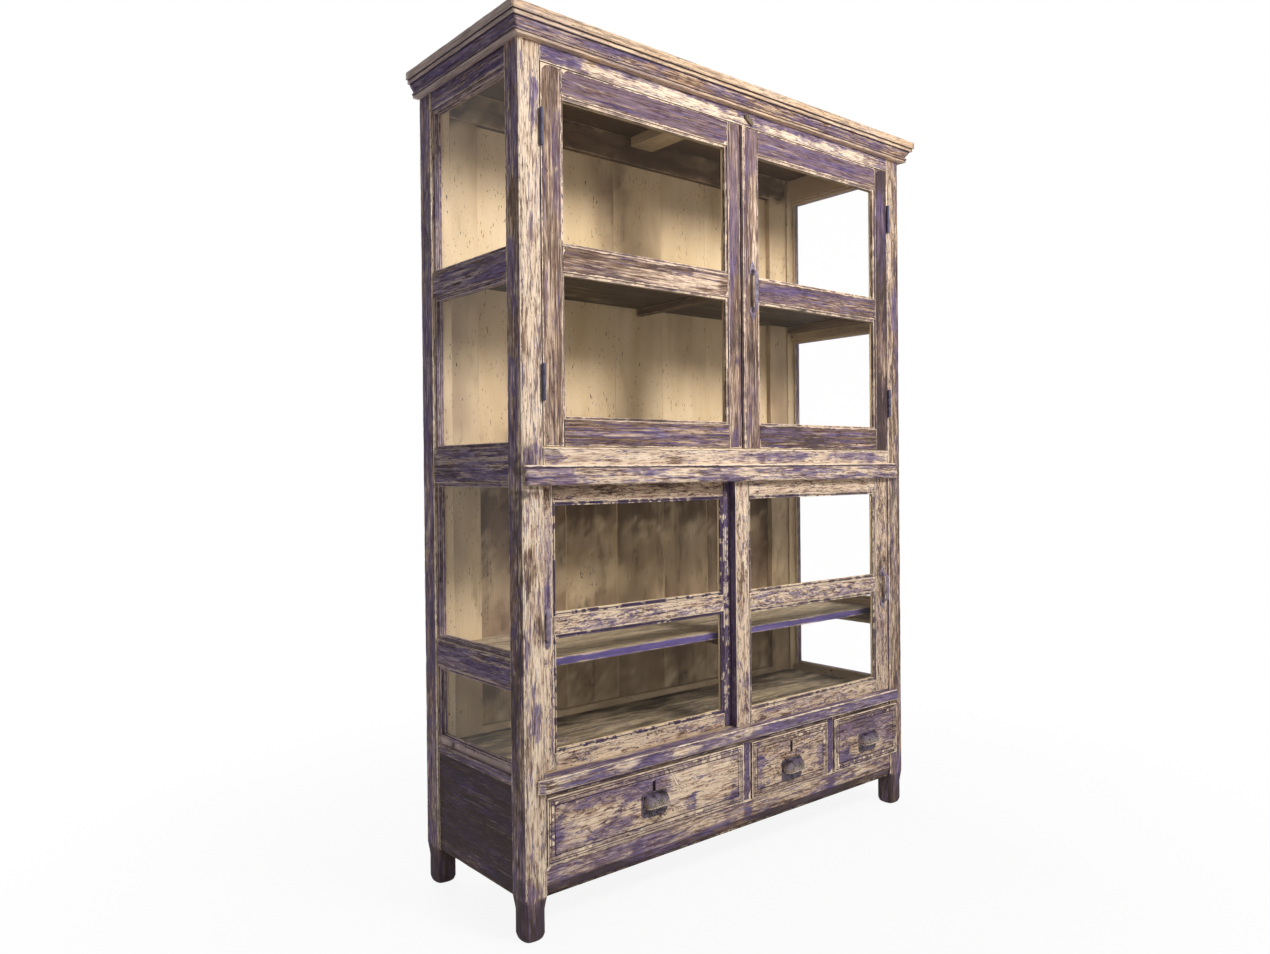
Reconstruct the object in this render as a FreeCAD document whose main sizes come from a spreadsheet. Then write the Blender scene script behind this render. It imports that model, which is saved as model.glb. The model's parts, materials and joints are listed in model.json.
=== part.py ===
import FreeCAD
import Part
import Sketcher
import math
import os

# Display cabinet of posts and rails, glazed on the front and both sides.
# Frame: +X to the right seen from the front, +Y to the back, +Z up, millimetres.
# The origin lies under the middle of the whole cabinet, on the floor.
# Pieces are drawn from the left face, the front face and the floor, and every
# sub-part is then shifted by the same step into that frame.

SIZES = (
    ("width", 1284, "over the outer faces of the posts"),
    ("depth", 424, "from the posts' front face to their back face"),
    ("post", 52, "square section of the four corner posts"),
    ("foot_round", 12, "rounding under each post"),
    ("foot_clear", 84, "floor to the underside of the apron"),
    ("apron_height", 62, "apron under the drawers"),
    ("apron_thick", 22, "apron, front to back"),
    ("apron_setback", 4, "apron and drawer rail behind the posts' front face"),
    ("drawer_opening", 142, "clear height for the drawer fronts"),
    ("drawer_rail_height", 12, "thin rail over the drawers"),
    ("ledge_height", 30, "sill ledge that the sliding doors run on"),
    ("ledge_proud", 12, "nosing in front of the posts"),
    ("ledge_lap", 18, "nosing run on over the right post"),
    ("ledge_round", 5, "rounding of the nosing's two front edges"),
    ("guide_depth", 60, "waist rail and ledge, from the front face back"),
    ("slider_opening", 607, "ledge to the underside of the waist rail"),
    ("waist_rail_height", 72, "rail between the two storeys"),
    ("upper_opening", 791, "waist rail to the underside of the frieze"),
    ("frieze_height", 65, "frieze rail, up to the top of the posts"),
    ("frieze_thick", 24, "frieze rail, front to back"),
    ("tenon", 24, "length of every tenon"),
    ("tenon_thick", 12, "thickness of every tenon"),
    ("tenon_setback", 8, "front rail's face to its tenon"),
    ("shoulder", 8, "rail edge to tenon edge"),
    ("mortise_spare", 1, "mortise deeper than its tenon"),
    ("moulding_height", 42, "moulding planted on the waist"),
    ("moulding_proud", 15, "waist moulding in front of the posts"),
    ("moulding_drop", 6, "waist moulding below the waist rail"),
    ("moulding_lip", 6, "square lip along the moulding's upper edge"),
    ("moulding_step", 6, "moulding's lip behind its face"),
    ("moulding_round", 4, "round along the moulding's lower edge"),
    ("moulding_left_in", 4, "moulding's left end inside the left face"),
    ("moulding_right_in", 32, "moulding's right end inside the right face"),
    ("top_board_thick", 18, "board on top of the posts"),
    ("cornice_rise", 25, "cornice above the top of the posts"),
    ("cornice_out", 34, "cornice in front of the posts, top band"),
    ("cornice_band", 17, "height of the top band"),
    ("cornice_groove", 1.5, "height of the groove under the band"),
    ("cornice_groove_out", 29, "bottom of that groove"),
    ("cornice_fillet", 7.5, "height of the square fillet"),
    ("cornice_fillet_out", 30, "square fillet"),
    ("cornice_ogee", 18, "height of the ogee"),
    ("cornice_ogee_out", 24, "top of the ogee"),
    ("cornice_neck_out", 15, "foot of the ogee"),
    ("cornice_bead", 6, "height of the bead under the ogee"),
    ("cornice_bead_out", 19, "bead"),
    ("cornice_foot", 6, "height of the lowest member"),
    ("cornice_foot_out", 17, "lowest member"),
    ("side_rail_thick", 36, "side rails, outside to inside"),
    ("side_setback", 2, "side rails behind the posts' outer face"),
    ("side_top_rail", 70, "height of the side frame's top rail"),
    ("side_upper_space", 377, "glass opening under the top rail"),
    ("side_upper_rail", 56, "height of the upper cross rail"),
    ("side_cap_rise", 4, "side cap rail above the waist rail's top"),
    ("side_cap_rail", 26, "height of the cap rail at the waist"),
    ("side_waist_rail", 52, "height of the rail under the cap rail"),
    ("side_lower_space", 360, "glass opening under the waist"),
    ("side_lower_rail", 63, "height of the lower cross rail"),
    ("side_sill_rise", 15, "side sill's inner edge above the ledge"),
    ("side_sill_rail", 33, "height of the side sill"),
    ("side_board_thick", 18, "boards of the closed base"),
    ("side_board_setback", 6, "those boards behind the posts' outer face"),
    ("side_board_gap", 0.8, "joint between two boards of the base"),
    ("pane_thick", 3, "window glass"),
    ("pane_gap", 1, "glass to the wood around it"),
    ("side_pane_setback", 15, "side glass behind the posts' outer face"),
    ("side_bead", 8, "width and thickness of the side glazing beads"),
    ("back_inset", 29, "back boards' inner face before the posts' back face"),
    ("back_board_thick", 14, "back boards"),
    ("back_board_gap", 0.8, "joint between two back boards"),
    ("back_frame_thick", 18, "rails and stiles nailed inside the back boards"),
    ("back_stile", 75, "width of the back stiles"),
    ("back_top_rail", 72, "height of the back's top rail"),
    ("back_bottom_rail", 17, "height of the back's bottom rail"),
    ("upper_shelf_thick", 20, "shelf behind the upper doors"),
    ("upper_shelf_rise", 395, "its underside above the waist rail"),
    ("upper_shelf_front", 30, "its front edge behind the front face"),
    ("lower_shelf_thick", 18, "shelf behind the sliding doors"),
    ("lower_shelf_rise", 210, "its underside above the ledge"),
    ("lower_shelf_front", 66, "its front edge behind the front face"),
    ("deck_thick", 18, "floor boards of the upper storey"),
    ("floor_thick", 18, "floor boards of the lower storey"),
    ("shelf_board_gap", 0.8, "joint between two boards of a shelf"),
    ("bearer_height", 20, "bearers under the shelves"),
    ("bearer_width", 18, "bearers under the shelves"),
    ("batten_width", 76, "batten across the ceiling"),
    ("batten_thick", 26, "batten across the ceiling"),
    ("door_gap", 2, "gap around the upper doors"),
    ("door_meeting_gap", 5, "gap between the upper doors"),
    ("door_thick", 24, "upper doors"),
    ("left_door_short", 6, "left door's free edge before the cabinet's middle"),
    ("door_stile", 52, "hinge stiles of the upper doors"),
    ("left_meeting_stile", 41, "meeting stile of the left door"),
    ("right_meeting_stile", 59, "meeting stile of the right door"),
    ("door_top_rail", 58, "top rail of the upper doors"),
    ("door_mid_rail", 56, "middle rail of the upper doors"),
    ("door_mid_rise", 364, "its underside above the door's bottom"),
    ("door_bottom_rail", 58, "bottom rail of the upper doors"),
    ("door_bead", 6, "width of the glazing beads"),
    ("door_bead_front", 8, "thickness of the front bead"),
    ("door_bead_back", 5, "thickness of the back bead"),
    ("door_bead_setback", 4, "front bead behind the door's face"),
    ("door_tenon", 30, "length of the door rails' tenons"),
    ("door_tenon_thick", 8, "thickness of the door rails' tenons"),
    ("meeting_bead_width", 8.5, "bead planted along the right door's free edge"),
    ("meeting_bead_proud", 6, "the same, in front of the door"),
    ("hinge_height", 77, "butt hinges"),
    ("hinge_knuckle", 5, "radius of the knuckle"),
    ("hinge_pin", 2.4, "radius of the pin"),
    ("hinge_running", 0.06, "knuckle's bore over the pin"),
    ("hinge_leaf", 20, "how far a leaf reaches into the joint"),
    ("hinge_slack", 0.3, "between leaves, between knuckles and before the wood"),
    ("hinge_top_inset", 134, "middle of the upper hinge under the door's top"),
    ("hinge_bottom_inset", 132, "middle of the lower hinge over the door's bottom"),
    ("pull_inset", 36, "door pull's middle from the door's free edge"),
    ("pull_rise", 314, "door pull's lower end over the door's bottom"),
    ("pull_length", 148, "door pull, end to end"),
    ("pull_leaf", 35, "height of each leaf plate"),
    ("pull_leaf_width", 20, "width of a leaf plate"),
    ("pull_plate", 2, "thickness of a leaf plate"),
    ("pull_bar", 12, "width of the bar"),
    ("pull_bar_thick", 3, "thickness of the bar"),
    ("pull_root", 21, "leaf plate's end to the root of the bar"),
    ("pull_standoff", 16, "upper door pull's bar in front of the wood"),
    ("button_x", 658, "turn button's pivot from the left face"),
    ("button_rise", 22, "pivot above the frieze's underside"),
    ("button_length", 34, "turn button, end to end"),
    ("button_width", 12, "turn button"),
    ("button_thick", 5, "turn button"),
    ("button_tilt", 58, "degrees from hanging straight down"),
    ("button_slack", 0.3, "play between button, washer and screw head"),
    ("screw_shank", 2.5, "radius of the button's screw"),
    ("screw_running", 0.08, "button's bore over the screw"),
    ("screw_head", 5, "radius of the screw head"),
    ("screw_head_thick", 2.4, "height of the screw head"),
    ("screw_depth", 16, "screw in the frieze rail"),
    ("washer_thick", 1.5, "washer behind the button"),
    ("washer_radius", 6, "washer behind the button"),
    ("slider_thick", 18, "sliding doors"),
    ("slider_front", 7, "front sliding door behind the front face"),
    ("slider_apart", 7, "space between the two sliding doors"),
    ("slider_clear", 1, "sliding doors to ledge, waist rail"),
    ("slider_side_clear", 0.5, "sliding doors to the posts"),
    ("left_slider_past", 5.5, "left sliding door reaches past the cabinet's middle"),
    ("right_slider_past", 23.5, "right sliding door reaches past the cabinet's middle"),
    ("slider_outer_stile", 43, "left sliding door's outer stile"),
    ("slider_inner_stile", 46, "the two stiles that pass each other"),
    ("right_slider_outer_stile", 54, "right sliding door's outer stile"),
    ("slider_top_rail", 41, "top rail of the sliding doors"),
    ("slider_mid_rail", 40, "middle rail of the sliding doors"),
    ("slider_mid_rise", 283, "its underside above the door's bottom"),
    ("slider_bottom_rail", 33, "bottom rail of the sliding doors"),
    ("slider_bead", 8, "width of their glazing beads"),
    ("slider_bead_setback", 2, "front bead behind the door's face"),
    ("slider_bead_front", 5, "thickness of the front bead"),
    ("slider_bead_back", 5, "thickness of the back bead"),
    ("tongue", 8, "width of the tongue along a sliding door's edge"),
    ("tongue_height", 8, "height of that tongue"),
    ("tongue_side_clear", 0.5, "tongue to its groove, each side"),
    ("groove_spare", 2, "upper groove deeper than the tongue reaches"),
    ("groove_rest", 0.3, "lower groove under the tongue that rides in it"),
    ("flat_pull_inset", 27, "left sliding door's pull from its outer edge"),
    ("flat_pull_rise", 255, "its lower end over the door's bottom"),
    ("flat_pull_length", 90, "that pull, end to end"),
    ("flat_pull_standoff", 6, "that pull's face in front of the wood"),
    ("flat_pull_bar_thick", 2.5, "thickness of that pull's bar"),
    ("flat_pull_plate", 1.5, "thickness of its leaf plates"),
    ("flat_pull_leaf", 22, "height of its leaf plates"),
    ("flat_pull_root", 14, "its leaf plates' end to the root of the bar"),
    ("slider_pull_inset", 24, "right sliding door's pull from its outer edge"),
    ("slider_pull_rise", 232, "its lower end over the door's bottom"),
    ("slider_pull_length", 120, "that pull, end to end"),
    ("slider_pull_leaf", 30, "height of its leaf plates"),
    ("slider_pull_root", 18, "its leaf plates' end to the root of the bar"),
    ("slider_pull_standoff", 20, "its bar's face in front of the wood"),
    ("wide_opening", 583, "opening of the wide drawer"),
    ("middle_opening", 294, "opening of the middle drawer"),
    ("divider_width", 26, "upright between two drawers"),
    ("drawer_side_gap", 2.5, "drawer front to the upright beside it"),
    ("drawer_gap", 1, "drawer front to the rails"),
    ("drawer_lap", 30, "right drawer's front over the right post"),
    ("drawer_front_thick", 20, "drawer fronts"),
    ("field_border", 20, "drawer front's edge to its raised field"),
    ("field_proud", 2, "raised field on a drawer front"),
    ("drawer_side", 10, "sides and back of a drawer"),
    ("drawer_box_inset", 3, "drawer's side inside the edge of its front"),
    ("drawer_box_height", 118, "sides of a drawer"),
    ("drawer_back_clear", 35, "behind a shut drawer, to the back boards"),
    ("drawer_bottom", 6, "bottom board of a drawer"),
    ("drawer_bottom_rise", 4, "bottom board above the sides' lower edge"),
    ("runner_width", 60, "boards that the drawers run on"),
    ("runner_thick", 12, "boards that the drawers run on"),
    ("cup_width", 76, "plate of a cup pull"),
    ("cup_height", 55, "plate of a cup pull"),
    ("cup_plate", 2, "plate of a cup pull"),
    ("cup_out", 26, "hood of a cup pull in front of the wood"),
    ("cup_wall", 2.5, "wall of the hood"),
    ("cup_margin", 8, "plate left showing beside the hood"),
    ("cup_mouth", 16, "hood's mouth above the plate's lower edge"),
    ("wide_cup_drop", 5, "wide drawer's pull under the middle of its front"),
    ("middle_cup_drop", 23, "middle drawer's pull under its middle"),
    ("right_cup_drop", 12, "right drawer's pull under its middle"),
    ("key_round", 3.2, "radius of a keyhole's round"),
    ("key_slot", 3, "width of a keyhole's slot"),
    ("key_slot_height", 11, "keyhole's slot under its round"),
    ("key_drop", 38, "keyhole's round under the top of the drawer front"),
    ("lock_width", 52, "lock case"),
    ("lock_height", 40, "lock case"),
    ("lock_thick", 9, "lock case"),
    ("lock_rise", 16, "lock case's top above the keyhole"),
    ("bolt_width", 16, "bolt of the lock"),
    ("bolt_thick", 5, "bolt of the lock"),
    ("bolt_height", 5, "bolt above its case, drawn back"),
)
BACK_BOARD_COUNT = 7
SHELF_BOARD_COUNT = 3

doc = FreeCAD.newDocument("display_cabinet")
sheet = doc.addObject("Spreadsheet::Sheet", "sizes")
for row, (alias, number, note) in enumerate(SIZES, start=1):
    sheet.set(f"A{row}", str(number))
    sheet.setAlias(f"A{row}", alias)
    sheet.set(f"B{row}", note)
doc.recompute()


class Size:
    """A length: its expression in the sheet's cells, and its present value."""

    def __init__(self, text, value):
        self.text = text
        self.value = value

    def __add__(self, other):
        other = as_size(other)
        return Size(f"({self.text} + {other.text})", self.value + other.value)

    def __radd__(self, other):
        return as_size(other) + self

    def __sub__(self, other):
        other = as_size(other)
        return Size(f"({self.text} - {other.text})", self.value - other.value)

    def __rsub__(self, other):
        return as_size(other) - self

    def __mul__(self, factor):
        return Size(f"({self.text} * {factor:.6g})", self.value * factor)

    def __rmul__(self, factor):
        return self * factor

    def __truediv__(self, divisor):
        return Size(f"({self.text} / {divisor:.6g})", self.value / divisor)

    def __neg__(self):
        return Size(f"(0 - {self.text})", -self.value)


def as_size(value):
    if isinstance(value, Size):
        return value
    return Size(f"({value:.6g})", float(value))


class Cells:
    """Reads a cell of the sheet as a Size, by its alias."""

    def __getattr__(self, alias):
        return Size(f"sizes.{alias}", float(sheet.get(alias)))


s = Cells()
ZERO = as_size(0)

# Levels above the floor, from the apron up.
APRON_TOP = s.foot_clear + s.apron_height
DRAWER_TOP = APRON_TOP + s.drawer_opening
LEDGE_BOTTOM = DRAWER_TOP + s.drawer_rail_height
LEDGE_TOP = LEDGE_BOTTOM + s.ledge_height
WAIST_BOTTOM = LEDGE_TOP + s.slider_opening
WAIST_TOP = WAIST_BOTTOM + s.waist_rail_height
FRIEZE_BOTTOM = WAIST_TOP + s.upper_opening
POST_TOP = FRIEZE_BOTTOM + s.frieze_height
UPPER_SHELF_BOTTOM = WAIST_TOP + s.upper_shelf_rise
LOWER_SHELF_BOTTOM = LEDGE_TOP + s.lower_shelf_rise

# Inner faces between the posts, and the back boards' inner face.
INNER_LEFT = s.post
INNER_RIGHT = s.width - s.post
SIDE_BACK = s.depth - s.post
BACK_FACE = s.depth - s.back_inset
SIDE_INSIDE = s.side_setback + s.side_rail_thick

nodes = []


def bind(thing, prop, value):
    thing.setExpression(prop, as_size(value).text)


def place(thing, x, y, z):
    bind(thing, "Placement.Base.x", x)
    bind(thing, "Placement.Base.y", y)
    bind(thing, "Placement.Base.z", z)


def spans(thing, x, y, z):
    """Give a box its place and its sides from three (low, high) pairs."""
    place(thing, x[0], y[0], z[0])
    bind(thing, "Length", as_size(x[1]) - x[0])
    bind(thing, "Width", as_size(y[1]) - y[0])
    bind(thing, "Height", as_size(z[1]) - z[0])
    return thing


def box(x, y, z):
    return spans(doc.addObject("Part::Box", "Board"), x, y, z)


def body(name):
    return doc.addObject("PartDesign::Body", name)


def add_box(owner, x, y, z):
    return spans(owner.newObject("PartDesign::AdditiveBox", "Add"), x, y, z)


def cut_box(owner, x, y, z):
    return spans(owner.newObject("PartDesign::SubtractiveBox", "Cut"), x, y, z)


def cylinder(owner, kind, radius, height, x, y, z, turn=None):
    """A round boss or hole whose axis is +Z, or the turned +Z."""
    thing = owner.newObject(f"PartDesign::{kind}Cylinder", "Round")
    bind(thing, "Radius", radius)
    bind(thing, "Height", height)
    if turn is not None:
        thing.Placement = FreeCAD.Placement(FreeCAD.Vector(), turn)
    place(thing, x, y, z)
    return thing


TO_BACK = FreeCAD.Rotation(FreeCAD.Vector(1, 0, 0), -90)


def compound(things):
    whole = doc.addObject("Part::Compound", "Group")
    whole.Links = things
    return whole


def node(thing, label, x=ZERO, y=ZERO, z=ZERO):
    """Name a finished sub-part and shift it into the cabinet's frame."""
    thing.Label = label
    place(thing, x - s.width / 2, y - (s.depth - s.cornice_out) / 2, z)
    nodes.append(thing)
    return thing


def plane(owner, role):
    return [each for each in owner.Origin.OriginFeatures if each.Role == role][0]


def sketch(owner, role, corners):
    """A closed outline. A corner is (across, up), or (across, up, radius, side)
    where an arc of that radius leads to the next corner, its centre to the
    left (side 1) or right (side -1) of the chord."""
    outline = owner.newObject("Sketcher::SketchObject", "Outline")
    outline.AttachmentSupport = (plane(owner, role), [""])
    outline.MapMode = "FlatFace"
    points = [FreeCAD.Vector(as_size(c[0]).value, as_size(c[1]).value, 0) for c in corners]
    starts = []
    ends = []
    for index, corner in enumerate(corners):
        first = points[index]
        last = points[(index + 1) % len(points)]
        if len(corner) == 2:
            outline.addGeometry(Part.LineSegment(first, last), False)
            starts.append(1)
            ends.append(2)
            continue
        radius = as_size(corner[2])
        side = corner[3]
        chord = last - first
        reach = math.sqrt(max(radius.value ** 2 - (chord.Length / 2) ** 2, 0.0))
        left = FreeCAD.Vector(-chord.y, chord.x, 0).normalize()
        centre = (first + last) * 0.5 + left * (side * reach)
        begin, finish = (first, last) if side > 0 else (last, first)
        low = math.atan2(begin.y - centre.y, begin.x - centre.x)
        high = math.atan2(finish.y - centre.y, finish.x - centre.x)
        circle = Part.Circle(centre, FreeCAD.Vector(0, 0, 1), radius.value)
        outline.addGeometry(Part.ArcOfCircle(circle, low, high), False)
        starts.append(1 if side > 0 else 2)
        ends.append(2 if side > 0 else 1)
        rule = outline.addConstraint(Sketcher.Constraint("Radius", index, radius.value))
        outline.setExpression(f"Constraints[{rule}]", radius.text)
    for index, corner in enumerate(corners):
        after = (index + 1) % len(corners)
        joint = Sketcher.Constraint("Coincident", index, ends[index], after, starts[after])
        outline.addConstraint(joint)
        for kind, value in (("DistanceX", corner[0]), ("DistanceY", corner[1])):
            value = as_size(value)
            dimension = Sketcher.Constraint(kind, -1, 1, index, starts[index], value.value)
            rule = outline.addConstraint(dimension)
            outline.setExpression(f"Constraints[{rule}]", value.text)
    return outline


def pad(owner, outline, length, backwards=False):
    made = owner.newObject("PartDesign::Pad", "Pad")
    made.Profile = outline
    made.Reversed = backwards
    bind(made, "Length", length)
    return made


# Posts and front rails

# Each front rail: its name, underside, top, front face, back face, and how far
# its tenon lies in from its edges. A thin rail's tenon keeps its whole height.
FRONT_RAILS = (
    ("apron_rail", s.foot_clear, APRON_TOP,
     s.apron_setback, s.apron_setback + s.apron_thick, s.shoulder),
    ("drawer_rail", DRAWER_TOP, LEDGE_BOTTOM, s.apron_setback, s.guide_depth, ZERO),
    ("sill_ledge", LEDGE_BOTTOM, LEDGE_TOP, ZERO, s.guide_depth, s.shoulder),
    ("waist_rail", WAIST_BOTTOM, WAIST_TOP, ZERO, s.guide_depth, s.shoulder),
    ("frieze_rail", FRIEZE_BOTTOM, POST_TOP, ZERO, s.frieze_thick, s.shoulder),
)

SIDE_TOP = POST_TOP - s.side_top_rail
SIDE_UPPER_TOP = SIDE_TOP - s.side_upper_space
SIDE_UPPER_BOTTOM = SIDE_UPPER_TOP - s.side_upper_rail
SIDE_CAP_TOP = WAIST_TOP + s.side_cap_rise
SIDE_CAP_BOTTOM = SIDE_CAP_TOP - s.side_cap_rail
SIDE_WAIST_BOTTOM = SIDE_CAP_BOTTOM - s.side_waist_rail
SIDE_LOWER_TOP = SIDE_WAIST_BOTTOM - s.side_lower_space
SIDE_LOWER_BOTTOM = SIDE_LOWER_TOP - s.side_lower_rail
SIDE_SILL_TOP = LEDGE_TOP + s.side_sill_rise
SIDE_SILL_BOTTOM = SIDE_SILL_TOP - s.side_sill_rail

# The square side rails, from the top down, as (underside, top).
SIDE_RAILS = (
    (SIDE_TOP, POST_TOP),
    (SIDE_UPPER_BOTTOM, SIDE_UPPER_TOP),
    (SIDE_CAP_BOTTOM, SIDE_CAP_TOP),
    (SIDE_WAIST_BOTTOM, SIDE_CAP_BOTTOM),
    (SIDE_LOWER_BOTTOM, SIDE_LOWER_TOP),
)
# The four glazed openings of a side, from the top down, as (bottom, top).
SIDE_OPENINGS = (
    (SIDE_UPPER_TOP, SIDE_TOP),
    (SIDE_CAP_TOP, SIDE_UPPER_BOTTOM),
    (SIDE_LOWER_TOP, SIDE_WAIST_BOTTOM),
    (SIDE_SILL_TOP, SIDE_LOWER_BOTTOM),
)


def front_tenon(front):
    return (front + s.tenon_setback, front + s.tenon_setback + s.tenon_thick)


def side_tenon(edge, inward):
    """Tenon of a side rail across X, from the outer face of that side."""
    near = s.side_setback + (s.side_rail_thick - s.tenon_thick) / 2
    far = near + s.tenon_thick
    if inward > 0:
        return (edge + near, edge + far)
    return (edge - far, edge - near)


def notch_for_lap(owner):
    """Seat in the right post for the drawer front that laps over it."""
    across = (INNER_RIGHT - s.mortise_spare, INNER_RIGHT + s.drawer_lap + s.drawer_side_gap)
    inward = (-s.mortise_spare, s.drawer_front_thick + s.drawer_gap)
    cut_box(owner, across, inward, (APRON_TOP, DRAWER_TOP))


def build_post(label, left, front):
    owner = body(label)
    across = (ZERO, s.post) if left else (INNER_RIGHT, s.width)
    inward = (ZERO, s.post) if front else (SIDE_BACK, s.depth)
    blank = add_box(owner, across, inward, (ZERO, POST_TOP))
    doc.recompute()
    foot = owner.newObject("PartDesign::Fillet", "Foot")
    under = []
    for index, edge in enumerate(blank.Shape.Edges, start=1):
        if all(abs(corner.Z) < 0.001 for corner in edge.Vertexes):
            under.append(f"Edge{index}")
    foot.Base = (blank, under)
    bind(foot, "Radius", s.foot_round)
    deep = s.tenon + s.mortise_spare
    if front:
        ends = (INNER_LEFT - deep, INNER_LEFT) if left else (INNER_RIGHT, INNER_RIGHT + deep)
        for _, low, high, face, _, inset in FRONT_RAILS:
            cut_box(owner, ends, front_tenon(face), (low + inset, high - inset))
    ends = (s.post - deep, s.post) if front else (SIDE_BACK, SIDE_BACK + deep)
    tenon = side_tenon(ZERO if left else s.width, 1 if left else -1)
    for low, high in SIDE_RAILS:
        cut_box(owner, tenon, ends, (low + s.shoulder, high - s.shoulder))
    if front and not left:
        notch_for_lap(owner)
    node(owner, label)


def build_front_rail(label, low, high, face, back, inset):
    owner = body(label)
    add_box(owner, (INNER_LEFT, INNER_RIGHT), (face, back), (low, high))
    ends = (INNER_LEFT - s.tenon, INNER_RIGHT + s.tenon)
    add_box(owner, ends, front_tenon(face), (low + inset, high - inset))
    return node(owner, label)


def slider_track(index):
    """Front and back face of a sliding door: 0 is the front track."""
    front = s.slider_front + (s.slider_thick + s.slider_apart) * index
    return (front, front + s.slider_thick)


def tongue_span(track, clear):
    middle = (track[0] + track[1]) / 2
    return (middle - s.tongue / 2 - clear, middle + s.tongue / 2 + clear)


def cut_track_grooves(owner, low, high):
    for index in range(2):
        groove = tongue_span(slider_track(index), s.tongue_side_clear)
        cut_box(owner, (INNER_LEFT, INNER_RIGHT), groove, (low, high))


build_post("post_front_left", True, True)
build_post("post_front_right", False, True)
build_post("post_back_left", True, False)
build_post("post_back_right", False, False)
rails = {rail[0]: build_front_rail(*rail) for rail in FRONT_RAILS}

ledge = rails["sill_ledge"]
nosing_end = INNER_RIGHT + s.ledge_lap
add_box(ledge, (INNER_LEFT, nosing_end), (-s.ledge_proud, ZERO), (LEDGE_BOTTOM, LEDGE_TOP))
doc.recompute()
square_ledge = ledge.Tip
front_edges = []
for index, edge in enumerate(square_ledge.Shape.Edges, start=1):
    if all(abs(corner.Y + s.ledge_proud.value) < 0.001 for corner in edge.Vertexes):
        if edge.Length > s.width.value / 2:
            front_edges.append(f"Edge{index}")
nosing = ledge.newObject("PartDesign::Fillet", "Nosing")
nosing.Base = (square_ledge, front_edges)
bind(nosing, "Radius", s.ledge_round)
tongue_reach = s.tongue_height - s.slider_clear
cut_track_grooves(ledge, LEDGE_TOP - tongue_reach + s.slider_clear - s.groove_rest, LEDGE_TOP)
cut_track_grooves(rails["waist_rail"], WAIST_BOTTOM,
                  WAIST_BOTTOM - s.slider_clear + tongue_reach + s.groove_spare)

# Waist moulding and cornice

waist_moulding = body("waist_moulding")
lip = s.moulding_proud - s.moulding_step
shape = sketch(waist_moulding, "YZ_Plane", (
    (ZERO, ZERO),
    (s.moulding_round - s.moulding_proud, ZERO, s.moulding_round, -1),
    (-s.moulding_proud, s.moulding_round),
    (-s.moulding_proud, s.moulding_height - s.moulding_lip - s.moulding_step,
     s.moulding_step, -1),
    (-lip, s.moulding_height - s.moulding_lip),
    (-lip, s.moulding_height),
    (ZERO, s.moulding_height),
))
pad(waist_moulding, shape, s.width - s.moulding_left_in - s.moulding_right_in)
node(waist_moulding, "waist_moulding", x=s.moulding_left_in, z=WAIST_BOTTOM - s.moulding_drop)

cornice_members = (s.cornice_foot, s.cornice_bead, s.cornice_ogee,
                   s.cornice_fillet, s.cornice_groove, s.cornice_band)
cornice_levels = [ZERO]
for member in cornice_members:
    cornice_levels.append(cornice_levels[-1] + member)
CORNICE_HEIGHT = cornice_levels[-1]
CORNICE_BOTTOM = POST_TOP + s.cornice_rise - CORNICE_HEIGHT


def cornice_profile(owner, role, sign):
    """The moulding's section; sign turns its outward side along the plane."""
    foot, bead, ogee, fillet, groove, band = cornice_levels[:6]
    half_out = (s.cornice_neck_out + s.cornice_ogee_out) / 2
    half_up = (ogee + fillet) / 2
    corners = (
        (ZERO, foot),
        (s.cornice_foot_out, foot),
        (s.cornice_foot_out, bead),
        (s.cornice_bead_out - s.cornice_bead / 2, bead, s.cornice_bead / 2 + 0.01, 1),
        (s.cornice_bead_out - s.cornice_bead / 2, ogee),
        (s.cornice_neck_out, ogee, s.cornice_ogee * 0.7, -1),
        (half_out, half_up, s.cornice_ogee * 0.7, 1),
        (s.cornice_ogee_out, fillet),
        (s.cornice_fillet_out, fillet),
        (s.cornice_fillet_out, groove),
        (s.cornice_groove_out, groove),
        (s.cornice_groove_out, band),
        (s.cornice_out, band),
        (s.cornice_out, CORNICE_HEIGHT),
        (ZERO, CORNICE_HEIGHT),
    )
    turned = [(sign * corner[0],) + tuple(corner[1:3]) + tuple(sign * side for side in corner[3:])
              for corner in corners]
    return sketch(owner, role, turned)


def mitre(owner, corners):
    """Cut an end of a cornice piece away by an upright three-cornered prism."""
    cutter = sketch(owner, "XY_Plane", corners)
    slot = owner.newObject("PartDesign::Pocket", "Mitre")
    slot.Profile = cutter
    slot.Type = "ThroughAll"
    slot.Midplane = True


def build_cornice_front():
    owner = body("cornice_front")
    shape = cornice_profile(owner, "YZ_Plane", -1)
    run = pad(owner, shape, s.width + 2 * s.cornice_out)
    shape.setExpression("AttachmentOffset.Base.z", (-s.cornice_out).text)
    doc.recompute()
    whole = run.Shape.Volume
    out = s.cornice_out
    mitre(owner, ((-out, -out), (ZERO, ZERO), (-out, ZERO)))
    mitre(owner, ((s.width + out, -out), (s.width + out, ZERO), (s.width, ZERO)))
    doc.recompute()
    if not owner.Shape.Volume < whole:
        raise RuntimeError("the cornice's mitres cut nothing")
    node(owner, "cornice_front", z=CORNICE_BOTTOM)


def build_cornice_return(left):
    """The side piece: its section lies in the XZ plane and runs to the back."""
    owner = body("Return")
    sign = -1 if left else 1
    shape = cornice_profile(owner, "XZ_Plane", sign)
    pad(owner, shape, s.depth + s.cornice_out, backwards=True)
    shape.setExpression("AttachmentOffset.Base.z", s.cornice_out.text)
    out = s.cornice_out
    mitre(owner, ((ZERO, -out), (sign * out, -out), (ZERO, ZERO)))
    place(owner, ZERO if left else s.width, ZERO, ZERO)
    return owner


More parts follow.
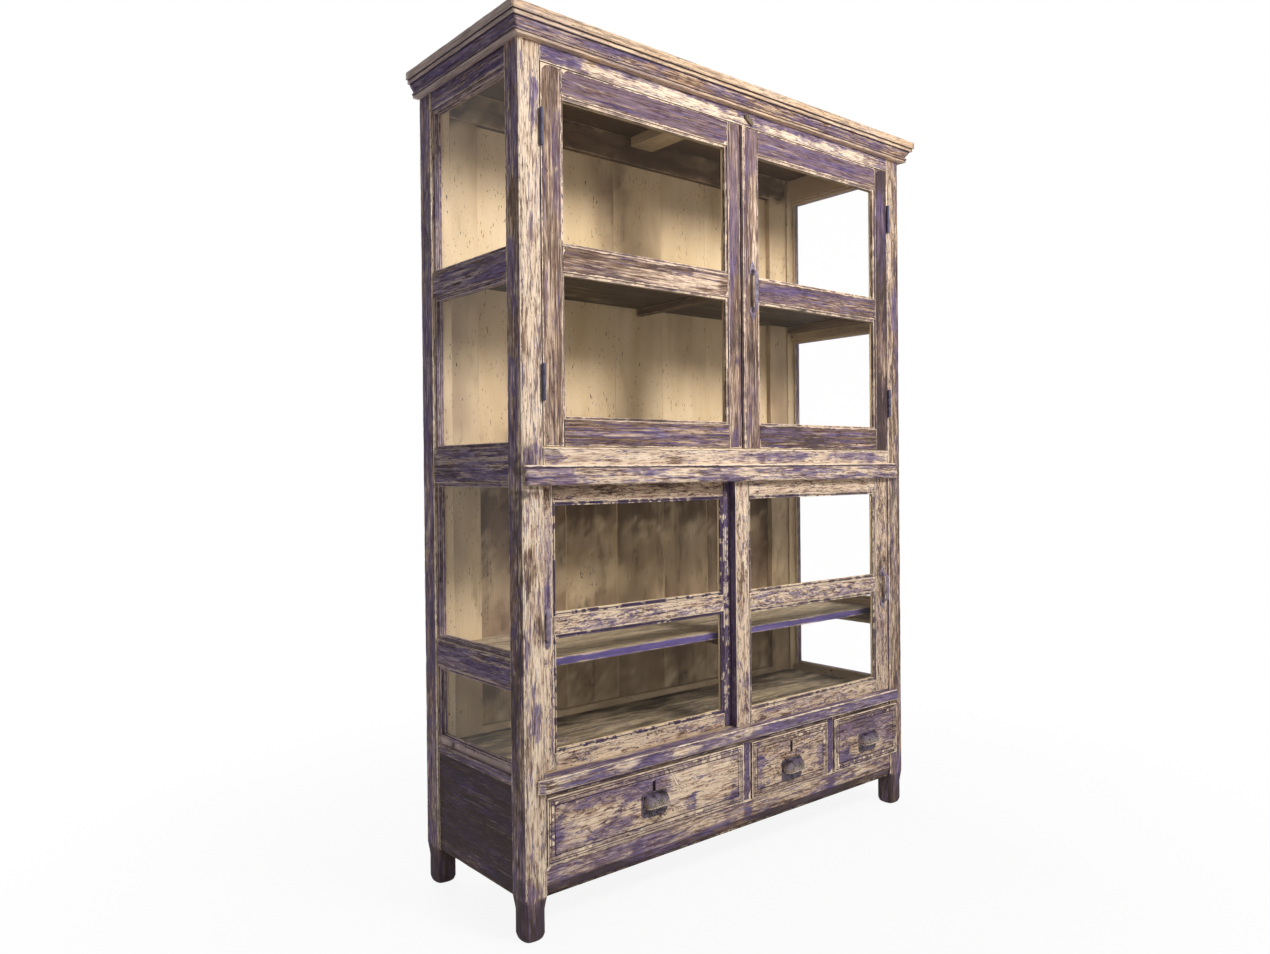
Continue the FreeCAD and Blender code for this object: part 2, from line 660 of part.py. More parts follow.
build_cornice_front()
returns = compound([build_cornice_return(True), build_cornice_return(False)])
node(returns, "cornice_returns", z=CORNICE_BOTTOM)

top_board = box((ZERO, s.width), (ZERO, s.depth), (POST_TOP, POST_TOP + s.top_board_thick))
node(compound([top_board]), "top_board")
batten = box((s.width / 2 - s.batten_width / 2, s.width / 2 + s.batten_width / 2),
             (s.frieze_thick, BACK_FACE - s.back_frame_thick),
             (POST_TOP - s.batten_thick, POST_TOP))
node(compound([batten]), "ceiling_batten")


# Side frames

def across_side(left, near, far):
    """A span across X, measured inwards from the outer face of a side."""
    if left:
        return (near, far)
    return (s.width - far, s.width - near)


def side_rail(left, low, high):
    owner = body("SideRail")
    wide = across_side(left, s.side_setback, SIDE_INSIDE)
    add_box(owner, wide, (s.post, SIDE_BACK), (low, high))
    thin = side_tenon(ZERO if left else s.width, 1 if left else -1)
    ends = (s.post - s.tenon, SIDE_BACK + s.tenon)
    add_box(owner, thin, ends, (low + s.shoulder, high - s.shoulder))
    return owner


def side_sill(left):
    """The sill sheds water outwards: its top slopes to the ledge's level."""
    owner = body("SideSill")
    sign = 1 if left else -1
    near = sign * s.side_setback
    far = sign * SIDE_INSIDE
    glass = sign * (s.side_pane_setback - s.side_bead)
    corners = (
        (near, SIDE_SILL_BOTTOM),
        (far, SIDE_SILL_BOTTOM),
        (far, SIDE_SILL_TOP),
        (glass, SIDE_SILL_TOP),
        (near, LEDGE_TOP),
    )
    pad(owner, sketch(owner, "XZ_Plane", corners), SIDE_BACK - s.post, backwards=True)
    place(owner, ZERO if left else s.width, s.post, ZERO)
    return owner


for left, label in ((True, "side_rails_left"), (False, "side_rails_right")):
    bars = [side_rail(left, low, high) for low, high in SIDE_RAILS]
    node(compound(bars + [side_sill(left)]), label)

base_boards = []
board_low = s.foot_clear
board_middle = (s.foot_clear + SIDE_SILL_BOTTOM) / 2
for left in (True, False):
    wide = across_side(left, s.side_board_setback, s.side_board_setback + s.side_board_thick)
    for low, high in ((board_low, board_middle - s.side_board_gap / 2),
                      (board_middle + s.side_board_gap / 2, SIDE_SILL_BOTTOM)):
        base_boards.append(box(wide, (s.post, SIDE_BACK), (low, high)))
node(compound(base_boards), "side_boards")

side_panes = []
side_beads = []
for left in (True, False):
    glass = across_side(left, s.side_pane_setback, s.side_pane_setback + s.pane_thick)
    outside = across_side(left, s.side_pane_setback - s.side_bead, s.side_pane_setback)
    behind = s.side_pane_setback + s.pane_thick
    inside = across_side(left, behind, behind + s.side_bead)
    for low, high in SIDE_OPENINGS:
        side_panes.append(box(glass, (s.post + s.pane_gap, SIDE_BACK - s.pane_gap),
                              (low + s.pane_gap, high - s.pane_gap)))
        for strip in (outside, inside):
            ring = doc.addObject("Part::Cut", "Bead")
            ring.Base = box(strip, (s.post, SIDE_BACK), (low, high))
            ring.Tool = box((strip[0] - s.pane_gap, strip[1] + s.pane_gap),
                            (s.post + s.side_bead, SIDE_BACK - s.side_bead),
                            (low + s.side_bead, high - s.side_bead))
            side_beads.append(ring)
node(compound(side_panes), "side_panes")
node(compound(side_beads), "side_beads")

# Back

board_step = (INNER_RIGHT - INNER_LEFT) / BACK_BOARD_COUNT
back_boards = []
for index in range(BACK_BOARD_COUNT):
    start = INNER_LEFT + board_step * index
    left_gap = s.back_board_gap / 2 if index else ZERO
    right_gap = s.back_board_gap / 2 if index < BACK_BOARD_COUNT - 1 else ZERO
    back_boards.append(box((start + left_gap, start + board_step - right_gap),
                           (BACK_FACE, BACK_FACE + s.back_board_thick),
                           (s.foot_clear, POST_TOP)))
node(compound(back_boards), "back_boards")

FRAME_FACE = BACK_FACE - s.back_frame_thick
BACK_RAIL_BOTTOM = POST_TOP - s.back_top_rail
STILE_LEFT = (INNER_LEFT, INNER_LEFT + s.back_stile)
STILE_RIGHT = (INNER_RIGHT - s.back_stile, INNER_RIGHT)
back_frame = [
    box((INNER_LEFT, INNER_RIGHT), (FRAME_FACE, BACK_FACE), (BACK_RAIL_BOTTOM, POST_TOP)),
    box(STILE_LEFT, (FRAME_FACE, BACK_FACE), (LEDGE_TOP, BACK_RAIL_BOTTOM)),
    box(STILE_RIGHT, (FRAME_FACE, BACK_FACE), (LEDGE_TOP, BACK_RAIL_BOTTOM)),
    box((STILE_LEFT[1], STILE_RIGHT[0]), (FRAME_FACE, BACK_FACE),
        (LEDGE_TOP, LEDGE_TOP + s.back_bottom_rail)),
]
node(compound(back_frame), "back_frame")


# Shelves and floors

def keep_clear(low, high):
    """What a shelf is notched around: the posts and the back stiles."""
    tall = (low - s.pane_gap, high + s.pane_gap)
    pieces = [box((ZERO, s.post), (ZERO, s.post), tall),
              box((INNER_RIGHT, s.width), (ZERO, s.post), tall),
              box((ZERO, s.post), (SIDE_BACK, s.depth), tall),
              box((INNER_RIGHT, s.width), (SIDE_BACK, s.depth), tall)]
    pieces += [box(STILE_LEFT, (FRAME_FACE, BACK_FACE), tall),
               box(STILE_RIGHT, (FRAME_FACE, BACK_FACE), tall)]
    return compound(pieces)


def build_shelf(label, front, low, high):
    step = (BACK_FACE - front) / SHELF_BOARD_COUNT
    boards = []
    for index in range(SHELF_BOARD_COUNT):
        start = front + step * index
        gap = s.shelf_board_gap if index < SHELF_BOARD_COUNT - 1 else ZERO
        boards.append(box((SIDE_INSIDE, s.width - SIDE_INSIDE),
                          (start, start + step - gap), (low, high)))
    shelf = doc.addObject("Part::Cut", "Shelf")
    shelf.Base = compound(boards)
    shelf.Tool = keep_clear(low, high)
    node(shelf, label)


build_shelf("upper_shelf", s.upper_shelf_front, UPPER_SHELF_BOTTOM,
            UPPER_SHELF_BOTTOM + s.upper_shelf_thick)
build_shelf("waist_deck", s.guide_depth, WAIST_TOP - s.deck_thick, WAIST_TOP)
build_shelf("lower_shelf", s.lower_shelf_front, LOWER_SHELF_BOTTOM,
            LOWER_SHELF_BOTTOM + s.lower_shelf_thick)
build_shelf("cabinet_floor", s.guide_depth, LEDGE_TOP - s.floor_thick, LEDGE_TOP)

BOARDS_INSIDE = s.side_board_setback + s.side_board_thick
DECK_BOTTOM = WAIST_TOP - s.deck_thick
FLOOR_BOTTOM = LEDGE_TOP - s.floor_thick
centre_span = (s.width / 2 - s.bearer_width / 2, s.width / 2 + s.bearer_width / 2)
bearers = []
# Each pair of side bearers: what it carries, its near end, what it is fixed to.
for under, front, outside in ((UPPER_SHELF_BOTTOM, s.post, SIDE_INSIDE),
                              (DECK_BOTTOM, s.guide_depth, SIDE_INSIDE),
                              (LOWER_SHELF_BOTTOM, s.post, SIDE_INSIDE),
                              (FLOOR_BOTTOM, s.guide_depth, BOARDS_INSIDE)):
    for left in (True, False):
        wide = across_side(left, outside, SIDE_INSIDE + s.bearer_width)
        bearers.append(box(wide, (front, SIDE_BACK), (under - s.bearer_height, under)))
for under, front in ((UPPER_SHELF_BOTTOM, s.upper_shelf_front),
                     (LOWER_SHELF_BOTTOM, s.lower_shelf_front)):
    bearers.append(box(centre_span, (front, BACK_FACE), (under - s.bearer_height, under)))
node(compound(bearers), "shelf_bearers")


# Upper doors

DOOR_BOTTOM = WAIST_TOP + s.door_gap
DOOR_TOP = FRIEZE_BOTTOM - s.door_gap
LEFT_DOOR = (INNER_LEFT + s.door_gap, s.width / 2 - s.left_door_short)
RIGHT_DOOR = (LEFT_DOOR[1] + s.door_meeting_gap, INNER_RIGHT - s.door_gap)
DOOR_RAILS = (
    (DOOR_BOTTOM, DOOR_BOTTOM + s.door_bottom_rail),
    (DOOR_BOTTOM + s.door_mid_rise, DOOR_BOTTOM + s.door_mid_rise + s.door_mid_rail),
    (DOOR_TOP - s.door_top_rail, DOOR_TOP),
)


def panel_frame(across, stiles, inward, low, high, door_rails, tongues=False):
    """Two stiles and their rails, joined by tenons. Each is its own solid."""
    tenon_length = s.door_tenon
    middle_depth = (inward[0] + inward[1]) / 2
    thin = (middle_depth - s.door_tenon_thick / 2, middle_depth + s.door_tenon_thick / 2)
    pieces = []
    edges = (across[0] + stiles[0], across[1] - stiles[1])
    for is_left, span in ((True, (across[0], edges[0])), (False, (edges[1], across[1]))):
        stile = body("Stile")
        add_box(stile, span, inward, (low, high))
        if tongues:
            add_box(stile, span, tongue_span(inward, ZERO),
                    (low - s.tongue_height + s.slider_clear,
                     high + s.tongue_height - s.slider_clear))
        cut = (edges[1], edges[1] + tenon_length)
        if is_left:
            cut = (edges[0] - tenon_length, edges[0])
        for under, top in door_rails:
            cut_box(stile, cut, thin, (under + s.shoulder, top - s.shoulder))
        pieces.append(stile)
    for index, (under, top) in enumerate(door_rails):
        rail = body("Rail")
        add_box(rail, edges, inward, (under, top))
        add_box(rail, (edges[0] - tenon_length, edges[1] + tenon_length), thin,
                (under + s.shoulder, top - s.shoulder))
        if tongues and index == 0:
            add_box(rail, edges, tongue_span(inward, ZERO),
                    (under - s.tongue_height + s.slider_clear, under))
        if tongues and index == len(door_rails) - 1:
            add_box(rail, edges, tongue_span(inward, ZERO),
                    (top, top + s.tongue_height - s.slider_clear))
        pieces.append(rail)
    return compound(pieces), edges


def glaze(edges, door_rails, front, bead, front_bead, back_bead):
    """Panes and the bead rings before and behind them, for one door."""
    panes = []
    rings = []
    glass = (front + front_bead, front + front_bead + s.pane_thick)
    for lower, upper in zip(door_rails[:-1], door_rails[1:]):
        low, high = lower[1], upper[0]
        panes.append(box((edges[0] + s.pane_gap, edges[1] - s.pane_gap), glass,
                         (low + s.pane_gap, high - s.pane_gap)))
        for strip in ((front, glass[0]), (glass[1], glass[1] + back_bead)):
            ring = doc.addObject("Part::Cut", "Bead")
            ring.Base = box(edges, strip, (low, high))
            ring.Tool = box((edges[0] + bead, edges[1] - bead),
                            (strip[0] - s.pane_gap, strip[1] + s.pane_gap),
                            (low + bead, high - bead))
            rings.append(ring)
    return compound(panes), compound(rings)


def build_upper_door(side, across, stiles):
    frame, edges = panel_frame(across, stiles, (ZERO, s.door_thick),
                               DOOR_BOTTOM, DOOR_TOP, DOOR_RAILS)
    panes, rings = glaze(edges, DOOR_RAILS, s.door_bead_setback, s.door_bead,
                         s.door_bead_front, s.door_bead_back)
    node(frame, f"upper_door_{side}_frame")
    node(panes, f"upper_door_{side}_panes")
    node(rings, f"upper_door_{side}_beads")


build_upper_door("left", LEFT_DOOR, (s.door_stile, s.left_meeting_stile))
build_upper_door("right", RIGHT_DOOR, (s.right_meeting_stile, s.door_stile))

meeting = body("upper_door_right_meeting_bead")
add_box(meeting, (RIGHT_DOOR[0], RIGHT_DOOR[0] + s.meeting_bead_width),
        (-s.meeting_bead_proud, ZERO), (DOOR_BOTTOM, DOOR_TOP))
node(meeting, "upper_door_right_meeting_bead")


# Hinges

PIN_Y = -(s.hinge_knuckle + s.hinge_slack)
LEAF_THICK = (s.door_gap - s.hinge_slack) / 2
HINGE_MIDDLES = (DOOR_BOTTOM + s.hinge_bottom_inset, DOOR_TOP - s.hinge_top_inset)


def hinge_pin_x(left):
    if left:
        return INNER_LEFT + s.door_gap / 2
    return INNER_RIGHT - s.door_gap / 2


def hinge_leaf(left, on_post, middle):
    """Where a leaf lies in the joint beside the door: its spans in X and Z."""
    joint_low = INNER_LEFT if left else INNER_RIGHT - s.door_gap
    across = (joint_low, joint_low + LEAF_THICK)
    if left != on_post:
        across = (joint_low + s.door_gap - LEAF_THICK, joint_low + s.door_gap)
    half = s.hinge_height / 2
    return across, (middle - half, middle + half)


def post_hinge(left, middle):
    """Fixed leaf, its two end knuckles, and the pin through all three."""
    owner = body("PostHinge")
    across, tall = hinge_leaf(left, True, middle)
    add_box(owner, across, (ZERO, s.hinge_leaf), tall)
    third = s.hinge_height / 3
    for low in (tall[0], tall[1] - third + s.hinge_slack):
        cylinder(owner, "Additive", s.hinge_knuckle, third - s.hinge_slack,
                 hinge_pin_x(left), PIN_Y, low)
        add_box(owner, across, (PIN_Y, ZERO), (low, low + third - s.hinge_slack))
    cylinder(owner, "Additive", s.hinge_pin, s.hinge_height, hinge_pin_x(left), PIN_Y, tall[0])
    return owner


def door_hinge(left, middle):
    """Moving leaf with the middle knuckle, bored to turn on the pin."""
    owner = body("DoorHinge")
    across, tall = hinge_leaf(left, False, middle)
    add_box(owner, across, (ZERO, s.hinge_leaf), tall)
    third = s.hinge_height / 3
    low = tall[0] + third
    cylinder(owner, "Additive", s.hinge_knuckle, third, hinge_pin_x(left), PIN_Y, low)
    add_box(owner, across, (PIN_Y, ZERO), (low, low + third))
    cylinder(owner, "Subtractive", s.hinge_pin + s.hinge_running, s.hinge_height,
             hinge_pin_x(left), PIN_Y, tall[0])
    return owner


fixed = [post_hinge(left, middle) for left in (True, False) for middle in HINGE_MIDDLES]
node(compound(fixed), "hinge_post_leaves")
for left, label in ((True, "upper_door_left_hinge_leaves"),
                    (False, "upper_door_right_hinge_leaves")):
    node(compound([door_hinge(left, middle) for middle in HINGE_MIDDLES]), label)


# Pulls

def build_bar_pull(label, at, length, leaf, root, standoff, plate, thick):
    """Two leaf plates and a bar that bows out between them. The bar's side view
    is drawn in the YZ plane and padded across X; its shoulders slope by half."""
    owner = body(label)
    half_leaf = s.pull_leaf_width / 2
    for start in (ZERO, length - leaf):
        add_box(owner, (-half_leaf, half_leaf), (-plate, ZERO), (start, start + leaf))
    rise = standoff / 2
    buried = -plate / 2
    inner = standoff - thick
    bar = sketch(owner, "YZ_Plane", (
        (buried, root),
        (-standoff, root + rise),
        (-standoff, length - root - rise),
        (buried, length - root),
        (buried, length - root - thick),
        (-inner, length - root - rise - thick / 2),
        (-inner, root + rise + thick / 2),
        (buried, root + thick),
    ))
    pad(owner, bar, s.pull_bar).Midplane = True
    return node(owner, label, *at)


build_bar_pull("upper_door_right_pull",
               (RIGHT_DOOR[0] + s.pull_inset, ZERO, DOOR_BOTTOM + s.pull_rise),
               s.pull_length, s.pull_leaf, s.pull_root,
               s.pull_standoff, s.pull_plate, s.pull_bar_thick)


# Turn button on the frieze

button = body("turn_button")
tip = s.button_length - s.button_width
cylinder(button, "Additive", s.button_width / 2, s.button_thick, ZERO, ZERO, ZERO, TO_BACK)
add_box(button, (-s.button_width / 2, s.button_width / 2), (ZERO, s.button_thick), (-tip, ZERO))
cylinder(button, "Additive", s.button_width / 2, s.button_thick, ZERO, ZERO, -tip, TO_BACK)
cylinder(button, "Subtractive", s.screw_shank + s.screw_running, s.button_thick,
         ZERO, ZERO, ZERO, TO_BACK)
TILT_AXIS = FreeCAD.Vector(0, 1, 0)
button.Placement = FreeCAD.Placement(FreeCAD.Vector(), FreeCAD.Rotation(TILT_AXIS, -1))
bind(button, "Placement.Rotation.Angle", -s.button_tilt)
BUTTON_Z = FRIEZE_BOTTOM + s.button_rise
BUTTON_BACK = -(s.washer_thick + s.button_slack)
node(button, "turn_button", x=s.button_x, y=BUTTON_BACK - s.button_thick, z=BUTTON_Z)

screw = body("turn_button_screw")
HEAD_BACK = BUTTON_BACK - s.button_thick - s.button_slack
cylinder(screw, "Additive", s.screw_head, s.screw_head_thick,
         ZERO, HEAD_BACK - s.screw_head_thick, ZERO, TO_BACK)
cylinder(screw, "Additive", s.screw_shank, s.screw_depth - HEAD_BACK, ZERO, HEAD_BACK, ZERO, TO_BACK)
cylinder(screw, "Additive", s.washer_radius, s.washer_thick, ZERO, -s.washer_thick, ZERO, TO_BACK)
node(screw, "turn_button_screw", x=s.button_x, z=BUTTON_Z)
cylinder(rails["frieze_rail"], "Subtractive", s.screw_shank + s.screw_running,
         s.screw_depth + s.mortise_spare, s.button_x, ZERO, BUTTON_Z, TO_BACK)


# Sliding doors

SLIDER_BOTTOM = LEDGE_TOP + s.slider_clear
SLIDER_TOP = WAIST_BOTTOM - s.slider_clear
SLIDER_RAILS = (
    (SLIDER_BOTTOM, SLIDER_BOTTOM + s.slider_bottom_rail),
    (SLIDER_BOTTOM + s.slider_mid_rise, SLIDER_BOTTOM + s.slider_mid_rise + s.slider_mid_rail),
    (SLIDER_TOP - s.slider_top_rail, SLIDER_TOP),
)
LEFT_SLIDER = (INNER_LEFT + s.slider_side_clear, s.width / 2 + s.left_slider_past)
RIGHT_SLIDER = (s.width / 2 - s.right_slider_past, INNER_RIGHT - s.slider_side_clear)


def build_slider(side, across, stiles, track):
    frame, edges = panel_frame(across, stiles, track, SLIDER_BOTTOM, SLIDER_TOP,
                               SLIDER_RAILS, tongues=True)
    panes, rings = glaze(edges, SLIDER_RAILS, track[0] + s.slider_bead_setback,
                         s.slider_bead, s.slider_bead_front, s.slider_bead_back)
    node(frame, f"slider_{side}_frame")
    node(panes, f"slider_{side}_panes")
    node(rings, f"slider_{side}_beads")


build_slider("left", LEFT_SLIDER, (s.slider_outer_stile, s.slider_inner_stile), slider_track(1))
build_slider("right", RIGHT_SLIDER,
             (s.slider_inner_stile, s.right_slider_outer_stile), slider_track(0))
build_bar_pull("slider_left_pull",
               (LEFT_SLIDER[0] + s.flat_pull_inset, slider_track(1)[0],
                SLIDER_BOTTOM + s.flat_pull_rise),
               s.flat_pull_length, s.flat_pull_leaf, s.flat_pull_root,
               s.flat_pull_standoff, s.flat_pull_plate, s.flat_pull_bar_thick)
build_bar_pull("slider_right_pull",
               (RIGHT_SLIDER[1] - s.slider_pull_inset, slider_track(0)[0],
                SLIDER_BOTTOM + s.slider_pull_rise),
               s.slider_pull_length, s.slider_pull_leaf, s.slider_pull_root,
               s.slider_pull_standoff, s.pull_plate, s.pull_bar_thick)


# Drawers

FIRST_DIVIDER = (INNER_LEFT + s.wide_opening, INNER_LEFT + s.wide_opening + s.divider_width)
SECOND_DIVIDER = (FIRST_DIVIDER[1] + s.middle_opening,
                  FIRST_DIVIDER[1] + s.middle_opening + s.divider_width)


def divider(span):
    """An upright between two drawers; behind the ledge it carries the floor."""
    owner = body("Divider")
    add_box(owner, span, (s.apron_setback, BACK_FACE), (APRON_TOP, DRAWER_TOP))
    add_box(owner, span, (s.guide_depth, BACK_FACE), (APRON_TOP, FLOOR_BOTTOM))
    return owner


node(compound([divider(FIRST_DIVIDER), divider(SECOND_DIVIDER)]), "drawer_dividers")

runners = []
for middle in (FIRST_DIVIDER, SECOND_DIVIDER):
    centre = (middle[0] + middle[1]) / 2
    runners.append((centre - s.runner_width / 2, centre + s.runner_width / 2))
runners.append((INNER_LEFT, INNER_LEFT + s.runner_width))
runners.append((INNER_RIGHT - s.runner_width, INNER_RIGHT))
runner_front = s.apron_setback + s.apron_thick
node(compound([box(span, (runner_front, BACK_FACE), (APRON_TOP - s.runner_thick, APRON_TOP))
               for span in runners]), "drawer_runners")

FRONT_LOW = APRON_TOP + s.drawer_gap
FRONT_HIGH = DRAWER_TOP - s.drawer_gap


def build_cup_pull(label, centre, middle):
    """A hood, a quarter of a hollow egg, open below, on a flat plate."""
    owner = body(label)
    half_width = s.cup_width / 2
    half_height = s.cup_height / 2
    hood_low = s.cup_mouth - half_height
    hood_high = half_height - s.cup_margin / 2
    for kind, less in (("Additive", ZERO), ("Subtractive", s.cup_wall)):
        egg = owner.newObject(f"PartDesign::{kind}Ellipsoid", "Egg")
        bind(egg, "Radius1", hood_high - hood_low - less)
        bind(egg, "Radius2", half_width - s.cup_margin - less)
        bind(egg, "Radius3", s.cup_out - less)
        place(egg, ZERO, ZERO, hood_low)
    around = (-half_width, half_width)
    cut_box(owner, around, (ZERO, s.cup_out + 1), (-s.cup_height, s.cup_height))
    cut_box(owner, around, (-s.cup_out - 1, ZERO), (-s.cup_height * 2, hood_low))
    add_box(owner, around, (-s.cup_plate, ZERO), (-half_height, half_height))
    node(owner, label, x=centre, z=middle)


def build_drawer(side, front, opening, cup_drop, locked):
    middle = (front[0] + front[1]) / 2
    slab = body(f"drawer_{side}_front")
    add_box(slab, front, (s.field_proud, s.drawer_front_thick), (FRONT_LOW, FRONT_HIGH))
    add_box(slab, (front[0] + s.field_border, front[1] - s.field_border),
            (ZERO, s.field_proud), (FRONT_LOW + s.field_border, FRONT_HIGH - s.field_border))
    key_z = FRONT_HIGH - s.key_drop
    if locked:
        cylinder(slab, "Subtractive", s.key_round, s.drawer_front_thick, middle, ZERO, key_z, TO_BACK)
        cut_box(slab, (middle - s.key_slot / 2, middle + s.key_slot / 2),
                (ZERO, s.drawer_front_thick), (key_z - s.key_slot_height, key_z))
    node(slab, f"drawer_{side}_front")

    outer = (opening[0] + s.drawer_side_gap + s.drawer_box_inset,
             opening[1] - s.drawer_side_gap - s.drawer_box_inset)
    near = s.drawer_front_thick
    far = BACK_FACE - s.drawer_back_clear
    low = FRONT_LOW
    high = low + s.drawer_box_height
    base = (low + s.drawer_bottom_rise, low + s.drawer_bottom_rise + s.drawer_bottom)
    inner = (outer[0] + s.drawer_side, outer[1] - s.drawer_side)
    box_pieces = [
        box((outer[0], inner[0]), (near, far), (low, high)),
        box((inner[1], outer[1]), (near, far), (low, high)),
        box(inner, (far - s.drawer_side, far), (base[1], high)),
        box(inner, (near, far), base),
    ]
    node(compound(box_pieces), f"drawer_{side}_box")
    cup_middle = (FRONT_LOW + FRONT_HIGH) / 2 - cup_drop
    build_cup_pull(f"drawer_{side}_pull", middle, cup_middle)
    if locked:
        case = body(f"drawer_{side}_lock")
        top = key_z + s.lock_rise
        add_box(case, (middle - s.lock_width / 2, middle + s.lock_width / 2),
                (near, near + s.lock_thick), (top - s.lock_height, top))
        add_box(case, (middle - s.bolt_width / 2, middle + s.bolt_width / 2),
                (near, near + s.bolt_thick), (top, top + s.bolt_height))
        node(case, f"drawer_{side}_lock")


wide_span = (INNER_LEFT, FIRST_DIVIDER[0])
middle_span = (FIRST_DIVIDER[1], SECOND_DIVIDER[0])
right_span = (SECOND_DIVIDER[1], INNER_RIGHT)
for side, opening, lap, drop, locked in (
        ("wide", wide_span, ZERO, s.wide_cup_drop, True),
        ("middle", middle_span, ZERO, s.middle_cup_drop, True),
        ("right", right_span, s.drawer_side_gap + s.drawer_lap, s.right_cup_drop, False)):
    front = (opening[0] + s.drawer_side_gap, opening[1] - s.drawer_side_gap + lap)
    build_drawer(side, front, opening, drop, locked)

# Check and write

doc.recompute()
for thing in doc.Objects:
    if "Invalid" in thing.State or "Error" in thing.State:
        raise RuntimeError(f"{thing.Name} ({thing.Label}) is {thing.State}")
for thing in nodes:
    if thing.Shape.isNull() or not thing.Shape.isValid():
        raise RuntimeError(f"{thing.Label} has no valid shape")

os.makedirs("parts", exist_ok=True)
for thing in nodes:
    thing.Shape.exportStep(f"parts/{thing.Label}.step")
    solids = len(thing.Shape.Solids)
    low, high = thing.Shape.BoundBox.ZMin, thing.Shape.BoundBox.ZMax
    print(f"{thing.Label}: {solids} solid(s), z {low:.1f} to {high:.1f}")
print(len(nodes), "sub-parts")
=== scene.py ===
# %% [markdown]
# # A painted display cabinet
#
# The real thing is an old shop cabinet: a post and rail frame, glazed doors above, sliding glazed
# doors below, three drawers at the foot. It was painted cream, later violet, and has been rubbed
# and knocked for decades since. The construction arrives ready made, as a frame of CAD solids that
# already hang on their joints. This lesson gives every piece its timber, paint, iron or glass.

# %% Load the frame
import json
import math
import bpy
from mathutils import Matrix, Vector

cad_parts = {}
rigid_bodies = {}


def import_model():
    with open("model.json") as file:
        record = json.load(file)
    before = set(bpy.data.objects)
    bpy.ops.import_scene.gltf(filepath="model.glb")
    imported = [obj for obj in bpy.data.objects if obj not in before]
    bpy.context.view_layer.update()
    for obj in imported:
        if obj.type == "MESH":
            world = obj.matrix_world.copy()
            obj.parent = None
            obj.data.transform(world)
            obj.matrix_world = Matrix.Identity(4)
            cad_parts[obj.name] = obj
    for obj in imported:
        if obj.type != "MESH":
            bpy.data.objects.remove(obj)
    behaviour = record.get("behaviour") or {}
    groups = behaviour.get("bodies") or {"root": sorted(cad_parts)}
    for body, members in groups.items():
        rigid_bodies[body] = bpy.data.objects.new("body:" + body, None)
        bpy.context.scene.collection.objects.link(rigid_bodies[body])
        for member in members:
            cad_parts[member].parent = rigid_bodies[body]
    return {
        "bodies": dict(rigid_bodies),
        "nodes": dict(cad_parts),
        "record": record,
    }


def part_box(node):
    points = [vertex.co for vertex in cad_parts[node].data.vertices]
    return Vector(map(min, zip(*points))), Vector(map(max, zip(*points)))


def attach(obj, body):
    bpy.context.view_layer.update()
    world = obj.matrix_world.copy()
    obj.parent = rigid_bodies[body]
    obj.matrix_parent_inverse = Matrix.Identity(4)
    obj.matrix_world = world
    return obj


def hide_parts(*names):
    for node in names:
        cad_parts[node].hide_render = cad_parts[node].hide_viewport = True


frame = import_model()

from types import SimpleNamespace

import bpy
import numpy as np
from mathutils import Matrix, Vector, noise

ours = set(frame["nodes"].values()) | set(frame["bodies"].values())
for stray in [o for o in bpy.data.objects if o not in ours]:
    bpy.data.objects.remove(stray)

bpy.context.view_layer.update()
MM = 0.001
corner = np.array(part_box("post_front_left")[0])

# %% [markdown]
# ## Reading the timbers out of the frame
#
# One node may hold several boards, such as the five pieces of a door frame. A closed solid uses
# each of its edges twice, so walking the faces in their stored order shows where one solid ends
# and the next begins. That way each board's place is measured from the frame and never typed in.

# %% Solids of a node
def solids(node):
    """The corner points of every solid in a CAD node, in metres."""
    mesh = frame["nodes"][node].data
    spots = {}
    ids = [spots.setdefault(tuple(round(c, 6) for c in v.co), len(spots)) for v in mesh.vertices]
    places = np.array(list(spots))
    found, unpaired, members = [], set(), set()
    for face in mesh.polygons:
        ring = [ids[i] for i in face.vertices]
        for a, b in zip(ring, ring[1:] + ring[:1]):
            if a != b:
                unpaired ^= {(min(a, b), max(a, b))}
        members.update(ring)
        if not unpaired:
            found.append(places[sorted(members)])
            members = set()
    return found


def timber(points):
    """Lowest corner, highest corner and length axis of one board, measured between its shoulders."""
    low, high = points.min(0), points.max(0)
    along = int(np.argmax(high - low))
    on_arris = np.ones(len(points), bool)
    for axis in range(3):
        if axis != along:
            near_side = np.minimum(abs(points[:, axis] - low[axis]), abs(points[:, axis] - high[axis]))
            on_arris &= near_side < 0.2 * MM
    if on_arris.any():
        low[along] = points[on_arris, along].min()
        high[along] = points[on_arris, along].max()
    return low, high, along


print("boards in the left side frame", len(solids("side_rails_left")))

# %% [markdown]
# ## The board builder
#
# A sawn board could be a cube with a bevel modifier, but a bevel is even, and this wood isn't:
# hands, brooms and glazing knives have rounded its arrises here and bruised them there. So each
# board is a box skin with many rings along its length, and the rounding radius wanders from ring
# to ring. Each point also keeps what the paint needs to know: where it lies along the grain, how
# far the next arris is, how far the next inner corner is, and whether it faces indoors.

# %% Wandering numbers
def rough(points, size, salt=0.0):
    """Smooth noise from about -1 to 1 at each point; size is the width of its bumps in metres."""
    spread = points / size + salt
    return np.array([noise.noise(p) for p in spread.tolist()])


def ruled(length, ease, step, extra=()):
    """Grid lines along one axis of a board: close together at its arrises, a step apart between."""
    ease = min(ease, length * 0.3)
    middle = np.linspace(2 * ease, length - 2 * ease, max(3, round(length / step)))
    if length < 5 * ease:
        middle = np.array([length / 2])
    ends = np.array([0, 0.35 * ease, ease])
    lines = np.unique(np.round(np.concatenate([ends, middle, length - ends, extra]), 7))
    keep = np.concatenate([[True], np.diff(lines) > 0.05 * MM])
    return lines[keep]


